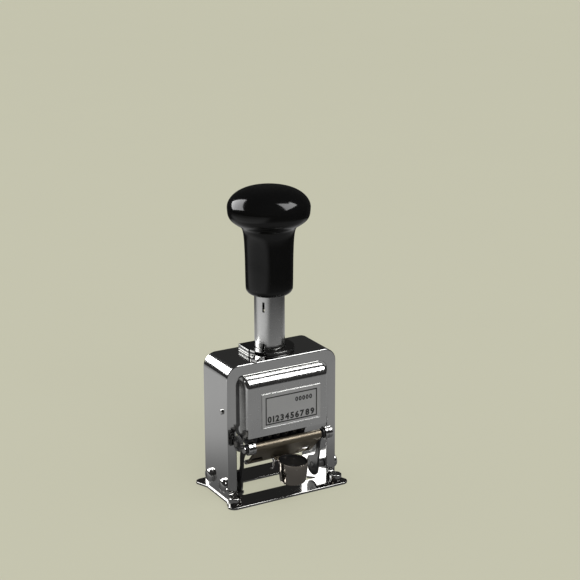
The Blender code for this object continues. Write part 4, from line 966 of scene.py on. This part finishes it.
# The sheet leans from the hem's outside to the lip's outside; its axes are across, down the sheet and rearward
down = np.array([slope[0] * math.cos(lean) - slope[1] * math.sin(lean),
                 slope[1] * math.cos(lean) + slope[0] * math.sin(lean)])
trayBasis = np.array([[1.0, 0, 0], [0, *down], [0, -down[1], down[0]]])
trayOrigin = np.array([0, *rodPlace])
trayFront = -trayShape["hem"] * math.cos(lean)
trayRear = trayFront + trayShape["thick"] * math.cos(lean)
half, lipZ = trayShape["half"], lipPlace[1]
sheetEnd = slopeLength * math.cos(lean)
hem = roundCorners([(trayShape["bore"], -half), (trayShape["hem"], -half), (trayShape["hem"], half),
                    (trayShape["bore"], half)], 0.2)
lip = roundCorners([(0, -trayShape["lipHalf"]), (trayShape["lip"], -trayShape["lipHalf"]),
                    (trayShape["lip"], trayShape["lipHalf"]), (0, trayShape["lipHalf"])],
                   np.array([0, 0.6, 0.6, 0]), closed=False)
plateOutline = [(-half, 0.0), (half, 0.0), (half, sheetEnd), (-half, sheetEnd)]
windowOutline = np.array([(trayShape["windowIn"] + trayShape["windowSlant"], trayShape["windowTop"]),
                          (trayShape["windowOut"], trayShape["windowTop"]),
                          (trayShape["windowOut"], trayShape["windowLow"]),
                          (trayShape["windowIn"], trayShape["windowLow"])])
windows = [slab(roundCorners(windowOutline * (side, 1) + (trayShape["windowShift"], 0), 0.8), -4, 2, 0.02,
                trayBasis, trayOrigin) for side in (-1, 1)]
trayBore = turnedProfile([(trayShape["bore"], -half - 1), (trayShape["bore"], half + 1)], 64, alongX,
                         trayOrigin)
tongueOutline = [(-trayShape["tongueHalf"], trayShape["tongueEnd"]),
                 (trayShape["tongueHalf"], trayShape["tongueEnd"]),
                 (trayShape["tongueHalf"], lipPlace[0] + 0.2), (-trayShape["tongueHalf"], lipPlace[0] + 0.2)]
tongue = slab(roundCorners(tongueOutline, 0.8), lipZ - trayShape["tongueThick"] / 2,
              lipZ + trayShape["tongueThick"] / 2,
              0.25, alongZ)
makePiece("trayPlate", slab(plateOutline, trayFront, trayRear, 0.15, trayBasis, trayOrigin), paintedBrownReflection,
          "pad_carrier", cuts=windows + [trayBore])
makePiece("trayHem", turnedProfile(hem, 64, alongX, trayOrigin, closed=True), paintedBrownReflection, "pad_carrier")
makePiece("padTray", together(turnedProfile(lip, 48, alongX, (0, *lipPlace)), tongue), plated, "pad_carrier",
          ["pad_tray"])

# Felt pad: a firm block with soft, slightly swollen edges
padShape = dict(half=16.0, start=2.7, end=8.3, seat=0.1, thick=3.6, edge=0.7, swell=0.15)


def padShell(values):
    u = np.linspace(-1, 1, 97)[:, None]
    v = np.linspace(-1, 1, 25)[None, :]
    halfLength, halfSlope = values["half"], (values["end"] - values["start"]) / 2
    middle = (values["start"] + values["end"]) / 2
    # A flat disc of points pushed to the rim's rounding: the sheet's edge falls as a quarter circle
    falloff = lambda t, reach: np.clip((np.abs(t) * reach - (reach - values["edge"])) / values["edge"], 0, 1)
    drop = np.sqrt(np.clip(1 - np.minimum(falloff(u, halfLength) ** 2 + falloff(v, halfSlope) ** 2, 1), 0, 1))
    bottom = trayRear + values["seat"]
    thick = values["thick"] - values["seat"]
    lump = 0.035 * np.sin(u * 23 + 1.3) * np.cos(v * 9 + u * 5) + 0.02 * np.sin(u * 57 + v * 13)
    top = bottom + thick * 0.45 + (thick * 0.55 - values["swell"] * (u ** 2 + v ** 2) / 2 + lump * drop) * drop
    low = bottom + thick * 0.45 - thick * 0.45 * drop
    rows = []
    for height in (top, low):
        rows.append(np.stack(np.broadcast_arrays(u * halfLength, middle + v * halfSlope, height), 2))
    shells = [skin(grid @ trayBasis + trayOrigin, closedCols=False) for grid in rows]
    return together(*shells)


padPiece = makePiece("inkPad", padShell(padShape), felt, "pad_carrier", ["ink_pad"])

# Thumb cup: ovals stacked from foot to rim, and a blackened dish inside the rim
cupShape = dict(y=-23.4, top=20.8, low=9.3, half=7.0, deep=8.5,
                shares=((0.0, 0.0, 0.0, 0.06), (0.76, 0.65, 0.0, 0.06), (0.83, 0.72, 0.015, 0.055),
                        (0.91, 0.79, 0.06, 0.05), (0.95, 0.86, 0.22, 0.03), (0.975, 0.93, 0.5, 0.01),
                        (1.0, 0.98, 0.8, 0.0), (1.0, 1.0, 0.94, 0.0), (0.995, 0.995, 0.985, 0.0),
                        (0.98, 0.985, 1.0, 0.0), (0.965, 0.972, 0.99, 0.0), (0.95, 0.96, 0.95, 0.0),
                        (0.9, 0.92, 0.91, 0.0), (0.5, 0.5, 0.9, 0.0), (0.0, 0.0, 0.9, 0.0)),
                dishShares=((0.0, 0.0, 0.86, 0.0), (0.5, 0.5, 0.86, 0.0), (0.9, 0.92, 0.865, 0.0),
                            (0.945, 0.955, 0.91, 0.0), (0.95, 0.96, 0.955, 0.0), (0.93, 0.945, 0.925, 0.0),
                            (0.88, 0.9, 0.912, 0.0), (0.5, 0.5, 0.902, 0.0), (0.0, 0.0, 0.902, 0.0)))


def cupShell(values, shares, count):
    table = smoothCurve(shares, count)
    turn = np.linspace(0, 2 * math.pi, 96, endpoint=False)[None, :]
    wide, deep, high, back = (table[:, [index]] for index in range(4))
    x = values["half"] * np.clip(wide, 0, 1) * np.cos(turn)
    y = values["y"] + values["deep"] * (back + np.clip(deep, 0, 1) * np.sin(turn))
    z = values["low"] + (values["top"] - values["low"]) * np.clip(high, 0, 1)
    return skin(np.stack(np.broadcast_arrays(x, y, z), 2), ends="first last")


makePiece("thumbCup", cupShell(cupShape, cupShape["shares"], 110), cupSteel, "pad_carrier", ["thumb_cup"])
makePiece("thumbDish", cupShell(cupShape, cupShape["dishShares"], 60), blackened, "pad_carrier")

# Catch wire under the tray, bent round to a small hook
catchShape = dict(x=-7.6, wire=0.45, drop=5.2, hook=1.9, forward=2.6, start=8.3, out=-2.357)
startY = rodPlace[0] + slope[0] * catchShape["start"] - slope[1] * catchShape["out"]
startZ = rodPlace[1] + slope[1] * catchShape["start"] + slope[0] * catchShape["out"]
route = [(catchShape["x"], startY, startZ),
         (catchShape["x"], startY - catchShape["forward"], startZ - catchShape["drop"] / 5),
         (catchShape["x"], startY - catchShape["forward"], startZ - catchShape["drop"]),
         (catchShape["x"] - catchShape["hook"] / 3, startY - catchShape["forward"],
          startZ - catchShape["drop"] - catchShape["hook"] / 3),
         (catchShape["x"] - catchShape["hook"], startY - catchShape["forward"], startZ - catchShape["drop"])]
makePiece("padCatch", wire(roundCorners(route, 0.7, closed=False), catchShape["wire"], 16, (0.1, 1, 0.3)),
          plated, "pad_carrier", ["pad_catch"])
print("inking gear made")


for name, material in (("carriage_block", blackened), ("carriage_side_left", blackened),
                       ("carriage_side_right", blackened), ("wheel_shaft", satinTop),
                       ("wheel_cradle", blackened),
                       ("pawl_rocker", blackened), ("dial_bracket", blackened), ("spring_seat", satinTop)):
    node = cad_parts[name]
    node.data.materials.clear()
    node.data.materials.append(material)


cameraPlace = dict(place=(-369.8, -670.4, 342.1), target=(11.77, 0.0, 101.28), roll=-0.15, lens=100.6)
camera = bpy.data.objects.new("camera", bpy.data.cameras.new("camera"))
camera.data.lens = cameraPlace["lens"]
camera.data.sensor_width = 36.0
camera.data.clip_start = 0.01
camera.data.clip_end = 60.0
bpy.context.scene.collection.objects.link(camera)
start = Vector(np.array(cameraPlace["place"]) * mm + axisPlace)
target = Vector(np.array(cameraPlace["target"]) * mm + axisPlace)
facing = (target - start).to_track_quat("-Z", "Y").to_matrix()
facing = facing @ Matrix.Rotation(math.radians(cameraPlace["roll"]), 3, "Z")
camera.matrix_world = Matrix.Translation(start) @ facing.to_4x4()
bpy.context.scene.camera = camera

# The shine values set the floor's painted glow seen in reflections; shineNearShade and nearShadeSpan set its
# painted shade close to the machine
stageLook = dict(floorColour=(0.66, 0.655, 0.53), floorSize=9.0, worldFill=0.56, worldGlossy=0.03,
                 paleShare=0.7, paleColour=(0.571, 0.565, 0.43), shine=0.24, shineLeft=0.5, shineBack=0.17,
                 shineNearShade=0.4, shineFar=0.06, leftSpan=(-0.13, -0.26), backSpan=(-0.05, 0.15),
                 nearShadeSpan=(0.03, 0.11), fadeSpan=(0.22, 0.34), farSpan=(0.34, 0.5))


# Pale floor with a very faint mottling. In reflections the floor itself glows as painted light: a lit patch
# round the machine, brighter on the left and behind, with painted shade close round the machine, that fades
# out, so that steel shows grey and the knob stays black
def makeFloor():
    material = bpy.data.materials.new("paleFloor")
    material.use_nodes = True
    tree = material.node_tree
    link = tree.links.new
    shader = tree.nodes["Principled BSDF"]
    shader.inputs["Roughness"].default_value = 0.9
    shader.inputs["Specular IOR Level"].default_value = 0.1
    place = addNode(tree, "ShaderNodeTexCoord")
    mottle = addNode(tree, "ShaderNodeTexNoise", Scale=9.0, Detail=4.0)
    link(place.outputs["Object"], mottle.inputs["Vector"])
    darker = [value * 0.96 for value in stageLook["floorColour"]]
    link(tones(tree, mottle.outputs["Fac"], stageLook["floorColour"], darker), shader.inputs["Base Color"])
    split = addNode(tree, "ShaderNodeSeparateXYZ")
    link(place.outputs["Object"], split.inputs[0])
    away = addNode(tree, "ShaderNodeVectorMath", operation="LENGTH")
    link(place.outputs["Object"], away.inputs[0])
    glow = stageLook["shine"]

    def share(socket, span, first, last):
        return ramp(tree, socket, *stageLook[span], first, last, "SMOOTHSTEP")

    left = share(split.outputs["X"], "leftSpan", 0.0, stageLook["shineLeft"])
    behind = share(split.outputs["Y"], "backSpan", glow, glow + stageLook["shineBack"])
    # Painted shade: the glow is dimmer close to the machine, standing in for the shade under it
    nearShade = share(away.outputs["Value"], "nearShadeSpan", stageLook["shineNearShade"], 1.0)
    fade = share(away.outputs["Value"], "fadeSpan", 1.0, stageLook["shineFar"])
    farFade = share(away.outputs["Value"], "farSpan", 1.0, 0.0)
    level = reckon(tree, "ADD", reckon(tree, "MULTIPLY", reckon(tree, "MULTIPLY", behind, nearShade), fade),
                   reckon(tree, "MULTIPLY", left, farFade))
    shine = addNode(tree, "ShaderNodeEmission")
    link(level, shine.inputs["Strength"])
    pale = addNode(tree, "ShaderNodeEmission", Color=(*stageLook["paleColour"], 1))
    rays = addNode(tree, "ShaderNodeLightPath")
    seen = addNode(tree, "ShaderNodeMath", operation="MULTIPLY")
    seen.inputs[1].default_value = stageLook["paleShare"]
    link(rays.outputs["Is Camera Ray"], seen.inputs[0])
    inView, inShine = addNode(tree, "ShaderNodeMixShader"), addNode(tree, "ShaderNodeMixShader")
    link(seen.outputs[0], inView.inputs["Fac"])
    link(shader.outputs[0], inView.inputs[1])
    link(pale.outputs[0], inView.inputs[2])
    link(rays.outputs["Is Glossy Ray"], inShine.inputs["Fac"])
    link(inView.outputs[0], inShine.inputs[1])
    link(shine.outputs[0], inShine.inputs[2])
    link(inShine.outputs[0], tree.nodes["Material Output"].inputs["Surface"])
    turn = np.linspace(0, 2 * math.pi, 97)[:-1]
    points = np.stack([np.cos(turn), np.sin(turn), 0 * turn], 1) * stageLook["floorSize"]
    mesh = bpy.data.meshes.new("floor")
    mesh.from_pydata(points.tolist(), [], [list(range(96))])
    floor = bpy.data.objects.new("floor", mesh)
    floor.location.z = -0.0001
    bpy.context.scene.collection.objects.link(floor)
    mesh.materials.append(material)


makeFloor()

# World: even fill for matt surfaces, and a dark room in the reflections
world = bpy.data.worlds.new("studio")
bpy.context.scene.world = world
world.use_nodes = True
tree = world.node_tree
back = tree.nodes["Background"]
back.inputs["Color"].default_value = (1.0, 0.99, 0.97, 1)
rays = addNode(tree, "ShaderNodeLightPath")
level = addNode(tree, "ShaderNodeMapRange")
level.inputs["To Min"].default_value = stageLook["worldFill"]
level.inputs["To Max"].default_value = stageLook["worldGlossy"]
tree.links.new(rays.outputs["Is Glossy Ray"], level.inputs["Value"])
tree.links.new(level.outputs[0], back.inputs["Strength"])


# Direction from the machine: azimuth from plus Y toward plus X, and height above the table, in degrees
def wayTo(azimuth, elevation):
    a, e = math.radians(azimuth), math.radians(elevation)
    return Vector((math.sin(a) * math.cos(e), math.cos(a) * math.cos(e), math.sin(e)))


# Softbox: a glowing sheet whose four corners lie in given directions
def softbox(name, corners, distance, strength, middle=(0, 0, 0.11)):
    mesh = bpy.data.meshes.new(name)
    points = [Vector(middle) + wayTo(*corner) * distance for corner in corners]
    mesh.from_pydata([tuple(point) for point in points], [], [(0, 1, 2, 3)])
    sheet = bpy.data.objects.new(name, mesh)
    bpy.context.scene.collection.objects.link(sheet)
    material = bpy.data.materials.new(name)
    material.use_nodes = True
    tree = material.node_tree
    tree.nodes.remove(tree.nodes["Principled BSDF"])
    glow = addNode(tree, "ShaderNodeEmission", Strength=strength)
    tree.links.new(glow.outputs[0], tree.nodes["Material Output"].inputs["Surface"])
    mesh.materials.append(material)
    sheet.visible_camera = False
    sheet.visible_diffuse = False
    return sheet


softbox("softboxBackLeft", ((-12.7, 15.9), (-20.3, 50.4), (-76.4, 21.4), (-37.6, 1.0)), 0.65, 6.4,
        (0, 0, 0.146))
softbox("softboxFrontRight", ((139, 75), (104.6, 36), (96, 56.5), (155.7, 32.7)), 1.6, 7.0)


# Two soft suns that show on matt surfaces only: one high at the front right, one low in front under the
# carriage
for name, way, energy, spread in (("softSun", (150, 55), 0.55, 60), ("lowSun", (186, 24), 1.1, 40)):
    sun = bpy.data.objects.new(name, bpy.data.lights.new(name, "SUN"))
    sun.data.energy = energy
    sun.data.angle = math.radians(spread)
    sun.rotation_mode = "QUATERNION"
    sun.rotation_quaternion = wayTo(*way).to_track_quat("Z", "Y")
    sun.visible_glossy = False
    bpy.context.scene.collection.objects.link(sun)
bpy.context.scene.view_settings.view_transform = "Standard"
print("stage, lights and camera made")
